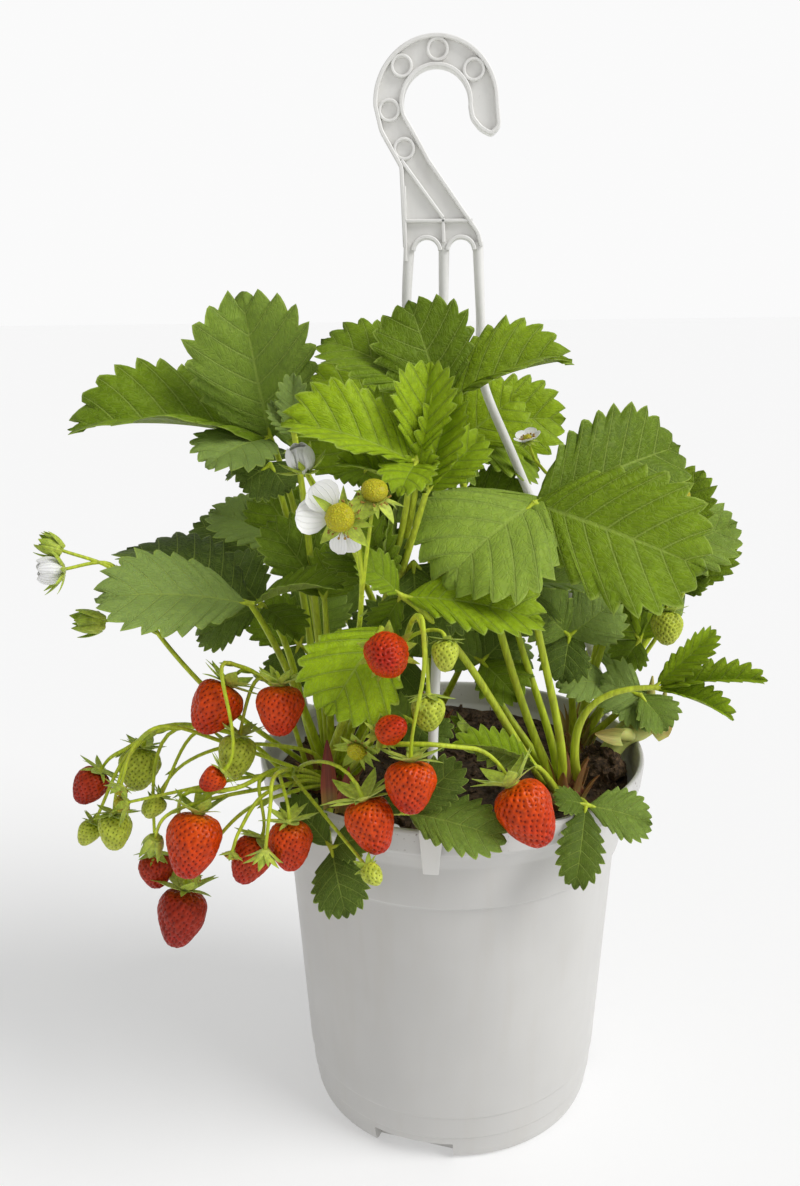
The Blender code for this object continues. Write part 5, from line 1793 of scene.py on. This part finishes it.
def grow_small_flower(centre, facing, diameter):
    """A small flower with five level petals."""
    shape = Shape()
    axis = unit(facing)
    place = standing(centre, facing)
    radius = diameter / 2
    level = petal(radius, radius * 1.1, 20, 0.12)
    add_whorl(shape, place, level, 5, radius * 0.14, 12, 3, 8, 6, 0.9)
    sepals = sepal(SEPAL, radius * 0.8, radius * 0.34, -10, 0.2, 0.7, 7)
    add_whorl(shape, lowered(place, 0.7), sepals, 10, 0.6, -10, 5, 10, 6, 0.8)
    add_heart(shape, vec(centre) - axis * 0.4, axis, radius * 0.3, radius * 0.4, 6)
    add_stamens(shape, place, radius * 0.28, 16, 8, 40, 1.8)
    base = ((0, -diameter * 0.14), (0.8, -diameter * 0.12), (radius * 0.28, -0.6), (0, 0.3))
    shape.add(*lathe(base, 10, centre, facing), sepal_skin(), across=0.4, vein=0.15, tone=0.6)
    return shape


FLOWER_MAKERS = {"open": grow_open_flower, "opening": grow_opening_flower, "rear": grow_small_flower}


# ---- crowns and soil ----
# routes and thickest radii of the pale shoots that lean over the rim at the right
RIM_SHOOTS = (
    (((68, 0, 156), (77, 4, 167), (86, 8, 169), (94, 12, 174), (97, 14, 187)), 4.6),
    (((68, 6, 157), (78, 10, 168), (86, 13, 173), (90, 15, 180), (91, 16, 192)), 4.0),
    (((80, 3, 168), (78, 0, 170), (73, -3, 171), (66, -6, 174)), 3.2),
)
# foot, top and width of the dark red sheaths in front of the left crown
SHEATHS = (
    ((-47, -67, 166), (-47, -71, 195), 6.5), ((-43, -67, 164), (-39, -70, 184), 5.0))


def stipule(length, width, curl, trough, thickness, tone, rows=9, wave=0.0):
    """A papery scale as a mesh of its own."""
    return blade(SCALE, length, width, curl, trough, thickness, stipule_skin(), tone, rows, 7, wave)


def add_rim_shoots(shape):
    """Pale shoots, each with a sheath halfway up."""
    for knots, thick in RIM_SHOOTS:
        route = smooth_route(knots, 7)
        radii = taper(len(route), (0, 0.3, 0.75, 1), (0.8 * thick, thick, 0.75 * thick, 0.4))
        shape.add(*tube(route, radii, 12), stipule_skin(), across=0.4, tone=1.0,
                  vein=tube_places(len(route), 12) * 0.75)
        here, ahead = along(route, 0.55)
        lean = across((0.4, -1.0, 0.2), ahead)
        sheath = stipule(13, 2.4 * thick, -14, 0.7, 0.5, 0.75)
        shape.add_mesh(sheath, basis(here + lean * thick * 0.9, ahead, lean))


def grow_crown(crown):
    """A knobbly rootstock wrapped in papery scales."""
    shape = Shape()
    chance = dice(crown)
    centre = crown_centre(crown)
    radius = CROWNS[crown][1]
    profile = [(0.0, -11.0), (radius * 0.5, -11.0), (radius * 0.86, -radius * 0.5)]
    profile += [tuple(radius * spot_on(math.radians(rise))) for rise in range(0, 90, 9)]
    profile.append((0.0, radius))
    points, faces = lathe(profile, 36, centre)
    away = points - centre
    turn = np.arctan2(away[:, 1], away[:, 0])
    lump = 0.05 * np.sin(5 * turn + 0.5 * away[:, 2]) + 0.04 * np.sin(9 * turn - 0.8 * away[:, 2] + 1)
    points = centre + away * (1 + lump * (away[:, 2] > -2))[:, None]
    shape.add(points, faces, crown_skin())
    green = 0.8 if crown == "edge" else 0.25
    for count, ring, tilt, length, seed in ((7, 0.92, 70, 14, 1), (6, 0.72, 80, 20, 5), (4, 0.4, 86, 22, 9)):
        scale = stipule(length, radius * 0.62, -10, 0.5, 0.5, green * chance.uniform(0.6, 1.2), wave=0.03)
        ring_centre = centre + (0, 0, 1.0 + 3.0 * (0.86 - ring))
        place = standing(ring_centre, (0, 0, 1), (chance.normal(), chance.normal(), 0))
        add_whorl(shape, place, scale, count, radius * ring, tilt, seed, 8, 14, 0.6)
    if crown == "edge":
        add_rim_shoots(shape)
    if crown == "left":
        for foot, top, breadth in SHEATHS:
            run = vec(top) - vec(foot)
            sheath = stipule(np.linalg.norm(run), breadth, -8, 0.7, 0.6, -0.25, 12)
            shape.add_mesh(sheath, basis(foot, run, across((0.1, -1.0, 0.2), run)))
    return shape.to_object(f"crown_{crown}_scales", 60)


# radius and height up the soil's side, inside the pot
SOIL_SIDE = (
    (58.0, 13.0), (62.5, 18.0), (64.0, 40.0), (71.0, 124.0), (73.0, 128.5), (74.6, 142.0), (77.6, 150.0))
SOIL_WAVE = 1.6 * 0.55
SOIL_SIDES = 180
# radii of the rings across the soil's surface, and how closely its lumps follow one another
SOIL_RINGS = np.concatenate((np.linspace(77.9, 70, 6), np.linspace(68, 2, 30)))
SOIL_LUMPS = (0.23, 0.41, 0.67, 1.05)
# crumbs lie inside this radius, clear of the wall, and on the heap inside the second
CRUMB_RADIUS, HEAP_CRUMB_RADIUS = 74.4, 72.0
# the heap of bark by the rim at the right: (radius, height over the soil), and its middle
HEAP = ((0.0, -4.0), (13.0, -4.0), (12.5, 2.0), (10.5, 6.4), (7.5, 10.0), (3.6, 12.0), (0.0, 12.4))
HEAP_CENTRE = (66, -4, SOIL_LEVEL)
# smallest and largest crumb, stretch, seed and share of the settings' density; fibres last
CRUMBS = ((0.5, 1.3, 1.6, 3, 1.0), (1.0, 2.6, 2.2, 8, 0.3), (0.28, 0.55, 16.0, 5, 0.07))
# where petals have dropped on the soil, and how they are turned
FALLEN_PETALS = ((-22, -68, 0.3), (-51, -66, 1.9), (-50, -58, 4.0), (12, -70, 5.2))


def soil_height(radius, turn):
    """Height of the soil's surface, level in the middle and wavy further out."""
    wave = np.sin(3 * turn + radius * 0.11) + 0.7 * np.sin(5 * turn - radius * 0.19 + 1.3)
    return SOIL_LEVEL + SOIL_WAVE * wave * np.minimum(1.0, radius / 20)


def grow_soil():
    """Lumpy potting soil up to the wall, strewn with crumbs and bark fibres."""
    shape = Shape()
    turns = circle(SOIL_SIDES)
    chance = dice("soil")
    phases = chance.uniform(0, 2 * math.pi, 12)
    rings = []
    for radius, height in SOIL_SIDE:
        level = np.full(SOIL_SIDES, height)
        rings.append(np.column_stack((radius * np.cos(turns), radius * np.sin(turns), level)))
    for radius in SOIL_RINGS:
        x, y = radius * np.cos(turns), radius * np.sin(turns)
        lump = np.zeros(SOIL_SIDES)
        for index, size in enumerate(SOIL_LUMPS):
            ripple = np.sin(size * x + phases[index]) * np.sin(size * y + phases[index + 4])
            lump += 0.5 / (index + 1) * ripple
        height = soil_height(radius, turns) + lump - 0.3 + 0.8 * max(0.0, (radius - 72) / 6)
        rings.append(np.column_stack((x, y, height)))
    points, faces = loft(rings)
    points[-1][2] = points[-2 - SOIL_SIDES:-2, 2].mean() + 0.1
    tops = (points[:, 2] > SOIL_LEVEL - 4) & (np.hypot(points[:, 0], points[:, 1]) < CRUMB_RADIUS)
    shape.add(points, faces, soil_skin(), tone=tops.astype(float))
    points, faces = lathe(smooth_route(HEAP, 4).tolist(), 30, HEAP_CENTRE)
    points = points + chance.normal(0, 0.5, points.shape)
    reach = np.linalg.norm(points[:, :2], axis=1)
    room = np.where(points[:, 2] > SOIL_LEVEL + 2, 78.0, 73.0)
    points[:, :2] *= np.minimum(1.0, room / reach)[:, None]
    bare = (points[:, 2] > SOIL_LEVEL) & (reach < HEAP_CRUMB_RADIUS)
    shape.add(points, faces, bark_skin(), tone=bare.astype(float))
    ground = shape.to_mesh("ground", 60)
    dense = settings().soil.crumbs * 1e4
    for smallest, largest, stretch, seed, share in CRUMBS:
        crumbs = grown(crumb_tree, ground, density=dense * share, smallest=smallest * MM,
                       largest=largest * MM, stretch=stretch, seed=seed, material=bark_skin())
        shape.add_mesh(crumbs)
    for x, y, turn in FALLEN_PETALS:
        height = float(soil_height(math.hypot(x, y), math.atan2(y, x))) + 0.9
        along_x, along_y = (math.cos(turn), math.sin(turn), 0), (-math.sin(turn), math.cos(turn), 0)
        fallen = petal(8.5, 7.5, 38, 0.2, 9, 7, 0.04)
        shape.add_mesh(fallen, placed((x, y, height), along_x, along_y, (0, 0, 1)))
    return shape.to_object("soil_bed", 40)


# ---- pot and hanger ----
RIM_RADIUS, POT_HEIGHT, LIP_FOOT = 84.6, 165.0, 154.8
BASE_RADIUS, BODY_TOP, COLLAR = 64.3, 73.2, 75.2
# directions of the drain notches, and each one's hole as (radius, height) pairs
DRAINS = (255, 15, 135)
DRAIN_HOLE = ((0.0, 7.5), (2.6, 7.5), (2.6, 16.5), (0.0, 16.5))
# longest face up the wall
WALL_STEP = 9
# radius and height, up the outside, over the rim and down the inside
PROFILE = (
    (0.0, 0.0), (BASE_RADIUS - 4.0, 0.0), (BASE_RADIUS - 1.2, 1.1), (BASE_RADIUS, 4.5),
    (BASE_RADIUS + 0.7, 11.6), (BASE_RADIUS + 1.3, 12.4), (BASE_RADIUS + 1.9, 22.4),
    (BASE_RADIUS + 2.5, 23.2), (BODY_TOP - 0.1, 125.2), (BODY_TOP + 0.3, 126.4), (COLLAR, 127.0),
    (COLLAR + 1.3, LIP_FOOT - 9.5), (RIM_RADIUS - 6.2, LIP_FOOT - 5.2), (RIM_RADIUS - 2.8, LIP_FOOT - 1.2),
    (RIM_RADIUS - 1.0, LIP_FOOT), (RIM_RADIUS, POT_HEIGHT - 1.2), (RIM_RADIUS - 0.5, POT_HEIGHT),
    (RIM_RADIUS - 2.0, POT_HEIGHT), (RIM_RADIUS - 2.6, POT_HEIGHT - 1.4),
    (RIM_RADIUS - 4.4, LIP_FOOT - 0.6), (RIM_RADIUS - 8.0, LIP_FOOT - 6.0),
    (COLLAR - 0.4, LIP_FOOT - 10.2), (COLLAR - 1.7, 127.6), (BODY_TOP - 1.7, 125.8),
    (BASE_RADIUS + 1.0, 24.0), (BASE_RADIUS + 0.2, 12.7), (BASE_RADIUS - 13.0, 11.5),
    (BASE_RADIUS - 15.0, 2.6), (0.0, 2.6),
)
# how far out of round the pot is at its rim, as a share of its radius
UNEVEN = 0.0016
# faces of a block whose eight corners are its lower ring, then its upper ring
BLOCK = [(3, 2, 1, 0), (4, 5, 6, 7), (0, 1, 5, 4), (1, 2, 6, 5), (2, 3, 7, 6), (3, 0, 4, 7)]
POT_SHARP = 32


def outward(angle):
    """The level direction at an angle in degrees."""
    return np.append(spot_on(math.radians(angle)), 0.0)


def cut_out(obj, cutter):
    """Takes the cutter away from the object for good."""
    step = obj.modifiers.new("Cut", "BOOLEAN")
    step.object = cutter
    step.solver = "EXACT"
    graph = bpy.context.evaluated_depsgraph_get()
    mesh = bpy.data.meshes.new_from_object(obj.evaluated_get(graph), depsgraph=graph)
    obj.modifiers.clear()
    bpy.data.objects.remove(cutter)
    obj.data = mesh
    return obj


def mould_pot():
    """The turned pot with its drain notches and their holes."""
    look = settings().pot
    shape = Shape()
    fine = rounded(PROFILE, 0.9, 4)
    wall = []
    for start, end in zip(fine, fine[1:]):
        wall.append(start)
        pieces = int(np.linalg.norm(end - start) // WALL_STEP)
        for step in range(1, pieces + 1):
            wall.append(start + (end - start) * step / (pieces + 1))
    wall.append(fine[-1])
    points, faces = lathe(wall, look.sides)
    turn = np.arctan2(points[:, 1], points[:, 0])
    away = np.hypot(points[:, 0], points[:, 1])
    uneven = 1 + UNEVEN * np.sin(2 * turn + 0.8) * np.clip(points[:, 2] / POT_HEIGHT, 0, 1)
    uneven = np.where(away > 30, uneven, 1.0)
    points[:, :2] *= uneven[:, None]
    shape.add(points, faces, pot_plastic())
    cutter = Shape()
    low, high = BASE_RADIUS - 9.0, BASE_RADIUS + 10.0
    for angle in DRAINS:
        out = outward(angle)
        side = np.cross((0, 0, 1), out)
        corners = []
        for z in (-3.0, 8.5):
            for reach, half in ((low, -17.0), (high, -18.5), (high, 18.5), (low, 17.0)):
                corners.append(out * reach + side * half + (0, 0, z))
        cutter.add(corners, BLOCK, pot_plastic())
        cutter.add(*lathe(DRAIN_HOLE, 24, out * (BASE_RADIUS - 4.0)), pot_plastic())
    pot = cut_out(shape.to_object("pot_wall", POT_SHARP), cutter.to_object("drain_cutter", 30))
    pot.data.shade_smooth()
    pot.data.set_sharp_from_angle(angle=math.radians(POT_SHARP))
    return pot


# the hook's outline lies in the XZ plane: the middle and the radii of its bend
HOOK = np.array((-5.8, 430.2))
HOOK_INSIDE, HOOK_OUTSIDE = 13.3, 23.3
# the raised rings on the bend: direction from its middle, distance
RINGS = ((38, 18.3), (88, 18.6), (135, 18.4), (188, 18.2), (233, 20.6))
# start and end of each straight rib of the plate
RIBS = (
    ((-19.3, 409.6), (-3.2, 388.2)), ((-18.0, 387.2), (8.4, 387.0)), ((-3.2, 388.0), (-2.9, 379.0)),
    ((-18.3, 400.0), (-18.0, 372.0)))
# middles of the two arches between the legs
ARCHES = ((-9.7, 375.6), (3.9, 375.6))
ARCH_RADIUS = 5.4
HANGER_DEPTH = 6.4
# where each leg starts along X, and the direction that it goes to
LEGS = ((-16.6, 150), (-2.8, 265), (10.6, 30))


def arc(centre, radius, start, end, count):
    """Points round a centre from one direction in degrees to another."""
    turns = np.radians(np.linspace(start, end, count))
    return np.column_stack((centre[0] + radius * np.cos(turns), centre[1] + radius * np.sin(turns)))


def upright_plate(outline, half):
    """A plate in the XZ plane from an outline that runs anticlockwise seen from the front."""
    outline = vec(outline)
    count = len(outline)
    points = [(x, -half, z) for x, z in outline] + [(x, half, z) for x, z in outline]
    faces = [tuple(range(count)), tuple(range(2 * count - 1, count - 1, -1))]
    for step in range(count):
        after = (step + 1) % count
        faces.append((step, step + count, after + count, after))
    return points, faces


def ribbon(route, width, half, chamfer=0.35, closed=False):
    """A moulded rib along a route in the XZ plane, with softened long edges."""
    route = vec(route)
    count = len(route)
    w, h, c = width / 2, half, chamfer
    section = ((-w, -h + c), (-w + c, -h), (w - c, -h), (w, -h + c),
               (w, h - c), (w - c, h), (-w + c, h), (-w, h - c))
    rings = []
    for index, here in enumerate(route):
        before = route[index - 1] if index or closed else here
        after = route[(index + 1) % count] if index < count - 1 or closed else here
        ahead = unit(after - before)
        if (index and index < count - 1) or closed:
            bend = unit(here - before) @ ahead
        else:
            bend = 1.0
        side = np.array((ahead[1], -ahead[0])) / max(bend, 0.6)
        rings.append([(here[0] + side[0] * s, depth, here[1] + side[1] * s) for s, depth in section])
    if closed:
        rings.append(rings[0])
        points, faces = loft(rings, closed_ends=False)
        total = (len(rings) - 1) * len(section)
        return points[:total], [tuple(corner % total for corner in face) for face in faces]
    return loft(rings)


def leg_route(top_x, out):
    """A leg's curve from the plate out to the rim."""
    knots = [(top_x, 0, 379.0), (top_x + out[0] * 1.5, out[1], 350.0), out * 12.0 + (top_x * 0.25, 0, 325.0)]
    for reach, height in ((32.3, 289.0), (65.0, 223.0), (82.5, 180.0), (82.6, 166.2)):
        knots.append(out * reach + (0, 0, height))
    return smooth_route(knots, 8)


def add_clip(shape, out):
    """The strip at a leg's foot, bent over the lip."""
    top, outer, inner = POT_HEIGHT + 0.4, RIM_RADIUS + 0.4, RIM_RADIUS - 4.0
    corners = [(outer + 0.7, top - 17.0), (outer + 0.7, top + 0.7), (inner - 0.7, top + 0.7),
               (inner - 0.7, top - 4.2)]
    line = rounded(corners, 1.6, 5)
    side = np.cross((0, 0, 1), out)
    rings = []
    for index, (reach, height) in enumerate(line):
        before, after = line[max(index - 1, 0)], line[min(index + 1, len(line) - 1)]
        ahead = unit(after - before)
        normal = vec((ahead[1], -ahead[0]))
        half = 4.5 * (1.0 - 0.35 * max(0.0, (top - 12.0 - height) / 5.0) ** 2) if reach > RIM_RADIUS else 4.5
        ring = []
        for s, n in ((-half, -0.45), (-half + 0.3, -0.7), (half - 0.3, -0.7), (half, -0.45),
                     (half, 0.45), (half - 0.3, 0.7), (-half + 0.3, 0.7), (-half, 0.45)):
            spot = (reach + normal[0] * n, height + normal[1] * n)
            ring.append(out * spot[0] + side * s + (0, 0, spot[1]))
        rings.append(ring)
    points, faces = loft(rings)
    shape.add(points, [face[::-1] for face in faces], hanger_plastic())


def mould_hanger():
    """The hook with its rings, the ribbed plate, three legs and their clips."""
    shape = Shape()
    skin = hanger_plastic()
    depth = HANGER_DEPTH / 2
    inner = arc(HOOK, HOOK_INSIDE, 200, -5, 36)
    left_edge = np.array(((-27.0, 420.4), (-19.3, 407.2), (-18.2, 377.4)))
    right_edge = np.array(((11.9, 377.4), (10.6, 382.4), (-9.0, 409.6), (-15.2, 420.6)))
    tip = np.array(((8.2, 424.6), (11.6, 420.6), (15.6, 418.6), (18.4, 421.4)))
    arches = [arc(middle, ARCH_RADIUS, 176, 4, 14) for middle in ARCHES]
    web = np.concatenate((arc(HOOK, HOOK_OUTSIDE, 0, 180, 30), left_edge, *arches, right_edge, inner, tip))
    shape.add(*upright_plate(web, 1.0), skin)
    border = np.concatenate((arc(HOOK, HOOK_OUTSIDE, 0, 182, 34), left_edge))
    for line in (border, np.concatenate((right_edge, inner, tip, border[:1]))):
        shape.add(*ribbon(rounded(line, 1.2, 3), 1.6, depth), skin)
    for turn, reach in RINGS:
        spot = HOOK + reach * spot_on(math.radians(turn))
        shape.add(*ribbon(arc(spot, 3.7, 0, 345, 24), 1.1, depth - 0.3, 0.3, closed=True), skin)
    for rib in RIBS:
        shape.add(*ribbon(rib, 1.4, depth - 0.2), skin)
    for middle in ARCHES:
        shape.add(*ribbon(arc(middle, ARCH_RADIUS, 5, 175, 18), 1.6, depth - 0.1), skin)
    for top_x, angle in LEGS:
        out = outward(angle)
        route = leg_route(top_x, out)
        radii = taper(len(route), (0, 0.15, 0.9, 1), (2.2, 1.9, 1.9, 2.1))
        shape.add(*tube(route, radii, 12), skin)
        add_clip(shape, out)
    return shape.to_object("hanger_moulding", 35)


# ---- operators ----
class PlantSettings(bpy.types.PropertyGroup):
    """All the plant's settings."""

    leaf: bpy.props.PointerProperty(type=PlantLeafSettings)
    fruit: bpy.props.PointerProperty(type=PlantFruitSettings)
    flower: bpy.props.PointerProperty(type=PlantFlowerSettings)
    pot: bpy.props.PointerProperty(type=PlantPotSettings)
    soil: bpy.props.PointerProperty(type=PlantSoilSettings)
    stage: bpy.props.PointerProperty(type=PlantStageSettings)


class PLANT_OT_pot(bpy.types.Operator):
    """Make the white plastic pot"""

    bl_idname = "plant.pot"
    bl_label = "Pot"

    def execute(self, context):
        show(mould_pot(), "white_plastic", "pot")
        return {"FINISHED"}


class PLANT_OT_hanger(bpy.types.Operator):
    """Make the hook, its legs and their clips"""

    bl_idname = "plant.hanger"
    bl_label = "Hanger"

    def execute(self, context):
        show(mould_hanger(), "white_plastic", "hanger")
        return {"FINISHED"}


class PLANT_OT_soil(bpy.types.Operator):
    """Make the soil with its crumbs and fallen petals"""

    bl_idname = "plant.soil"
    bl_label = "Soil"

    def execute(self, context):
        show(grow_soil(), "soil", "potting_soil")
        return {"FINISHED"}


class PLANT_OT_crowns(bpy.types.Operator):
    """Make the four rootstocks"""

    bl_idname = "plant.crowns"
    bl_label = "Crowns"

    def execute(self, context):
        for crown in CROWNS:
            show(grow_crown(crown), "crown", "crown_" + crown)
        return {"FINISHED"}


class PLANT_OT_leaves(bpy.types.Operator):
    """Make every large leaf with its stalk"""

    bl_idname = "plant.leaves"
    bl_label = "Leaves"

    def execute(self, context):
        for name, crown, meeting, leaflets in LEAVES:
            foot, way = stem_foot("leaf_" + name, crown)
            show(grow_leaf(name, meeting, leaflets, foot, way), "leaf", "leaf_" + name)
        return {"FINISHED"}


class PLANT_OT_extra_leaves(bpy.types.Operator):
    """Make the smaller leaves between the large ones"""

    bl_idname = "plant.extra_leaves"
    bl_label = "Small leaves"

    def execute(self, context):
        for name, crown, meeting, leaflets in EXTRA_LEAVES:
            way = unit(vec(meeting) - crown_centre(crown))
            foot = crown_centre(crown) + way * (CROWNS[crown][1] + 0.6)
            show(grow_leaf(name, meeting, leaflets, foot, way), "leaf")
        return {"FINISHED"}


class PLANT_OT_trusses(bpy.types.Operator):
    """Make the fruiting stalks with their buds and fruitlets"""

    bl_idname = "plant.trusses"
    bl_label = "Fruiting stalks"

    def execute(self, context):
        for name, crown, knots, twigs in TRUSSES:
            show(grow_truss(name, crown, knots, twigs), "stalk", "truss_" + name)
        show(grow_loose_stalks(), "stalk")
        return {"FINISHED"}


class PLANT_OT_berries(bpy.types.Operator):
    """Make the ripe and unripe berries"""

    bl_idname = "plant.berries"
    bl_label = "Berries"

    def execute(self, context):
        for name, _, _, centre, axis, diameter, length, ripeness, tilt in BERRIES:
            berry = grow_berry(name, centre, axis, diameter, length, ripeness, tilt)
            show(berry, "ripe_fruit" if ripeness > 0.5 else "unripe_fruit", "berry_" + name)
        return {"FINISHED"}


class PLANT_OT_flowers(bpy.types.Operator):
    """Make the flowers"""

    bl_idname = "plant.flowers"
    bl_label = "Flowers"

    def execute(self, context):
        for name, _, _, centre, facing, diameter in FLOWERS:
            shape = FLOWER_MAKERS[name](centre, facing, diameter)
            show(shape.to_object(f"flower_{name}_head", 60), "petal", "flower_" + name)
        return {"FINISHED"}


FLOOR_HALF, FLOOR_DROP = 30.0, 0.0002
# towards the light, and its width in the sky in degrees
LIGHT_FROM, LIGHT_WIDTH = (0.95, -0.38, 0.95), 34
# the camera's place in metres, how far it looks down, and its turns to the side and round its axis
CAMERA_PLACE = (0.0, -0.45, 0.354)
PITCH, YAW, ROLL = math.radians(14.8), math.radians(-2.8), math.radians(-0.7)


def add_floor(scene):
    """A wide level floor just under the pot."""
    mesh = bpy.data.meshes.new("floor")
    corners = [(x * FLOOR_HALF, y * FLOOR_HALF, 0) for x, y in ((-1, -1), (1, -1), (1, 1), (-1, 1))]
    mesh.from_pydata(corners, [], [(0, 1, 2, 3)])
    mesh.materials.append(floor_skin())
    floor = bpy.data.objects.new("floor", mesh)
    floor.location.z = -FLOOR_DROP
    scene.collection.objects.link(floor)


def add_sky(scene, look):
    """A world that shows bright and lights softly."""
    world = bpy.data.worlds.new("studio")
    world.use_nodes = True
    tree = world.node_tree
    tree.nodes.clear()
    rays = add_node(tree, "ShaderNodeLightPath").outputs["Is Camera Ray"]
    soft, seen = (put(tree, "ShaderNodeBackground", {"Color": (1, 1, 1, 1), "Strength": strength})
                  for strength in (look.fill, look.backdrop))
    mixed = put(tree, "ShaderNodeMixShader", {0: rays, 1: soft, 2: seen})
    add_node(tree, "ShaderNodeOutputWorld", {"Surface": mixed})
    scene.world = world


def add_light(scene, look):
    """One broad soft light from the front and the right."""
    lamp = bpy.data.lights.new("window", "SUN")
    lamp.energy = look.key
    lamp.angle = math.radians(LIGHT_WIDTH)
    window = bpy.data.objects.new("window", lamp)
    window.rotation_euler = Vector(LIGHT_FROM).to_track_quat("Z", "Y").to_euler()
    scene.collection.objects.link(window)


def add_camera(scene, look):
    """The camera in front of the plant, looking a little down."""
    lens = bpy.data.cameras.new("front")
    lens.lens = look.lens / MM
    lens.sensor_width = 36.0
    lens.clip_start, lens.clip_end = 0.02, 100.0
    camera = bpy.data.objects.new("front", lens)
    forward = Vector((math.sin(YAW) * math.cos(PITCH), math.cos(YAW) * math.cos(PITCH), -math.sin(PITCH)))
    right = Vector((math.cos(YAW), -math.sin(YAW), 0.0))
    upward = right.cross(forward)
    right_turned = right * math.cos(ROLL) + upward * math.sin(ROLL)
    up_turned = upward * math.cos(ROLL) - right * math.sin(ROLL)
    turn = Matrix((right_turned, up_turned, -forward)).transposed()
    camera.matrix_world = Matrix.Translation(CAMERA_PLACE) @ turn.to_4x4()
    scene.collection.objects.link(camera)
    scene.camera = camera


class PLANT_OT_stage(bpy.types.Operator):
    """Set the floor, the light and the camera"""

    bl_idname = "plant.stage"
    bl_label = "Stage"

    def execute(self, context):
        scene = context.scene
        look = settings().stage
        add_floor(scene)
        add_sky(scene, look)
        add_light(scene, look)
        add_camera(scene, look)
        scene.view_settings.view_transform = "Standard"
        return {"FINISHED"}


OPERATORS = (
    PLANT_OT_pot, PLANT_OT_hanger, PLANT_OT_soil, PLANT_OT_crowns, PLANT_OT_leaves,
    PLANT_OT_extra_leaves, PLANT_OT_trusses, PLANT_OT_berries, PLANT_OT_flowers, PLANT_OT_stage)
SETTINGS = (
    PlantLeafSettings, PlantFruitSettings, PlantFlowerSettings, PlantPotSettings, PlantSoilSettings,
    PlantStageSettings, PlantSettings)


class PLANT_PT_panel(bpy.types.Panel):
    """Buttons for each piece of the plant"""

    bl_idname = "PLANT_PT_panel"
    bl_label = "Potted strawberry plant"
    bl_space_type = "VIEW_3D"
    bl_region_type = "UI"
    bl_category = "Plant"

    def draw(self, context):
        for operator in OPERATORS:
            self.layout.operator(operator.bl_idname)


def register():
    for kind in (*SETTINGS, *OPERATORS, PLANT_PT_panel):
        bpy.utils.register_class(kind)
    bpy.types.Scene.plant = bpy.props.PointerProperty(type=PlantSettings)


def unregister():
    del bpy.types.Scene.plant
    for kind in reversed((*SETTINGS, *OPERATORS, PLANT_PT_panel)):
        bpy.utils.unregister_class(kind)


def main():
    """Makes the whole plant and the stage."""
    register()
    bpy.ops.plant.pot()
    bpy.ops.plant.hanger()
    bpy.ops.plant.soil()
    bpy.ops.plant.crowns()
    bpy.ops.plant.leaves()
    bpy.ops.plant.extra_leaves()
    bpy.ops.plant.trusses()
    bpy.ops.plant.berries()
    bpy.ops.plant.flowers()
    bpy.ops.plant.stage()


if __name__ == "__main__":
    main()
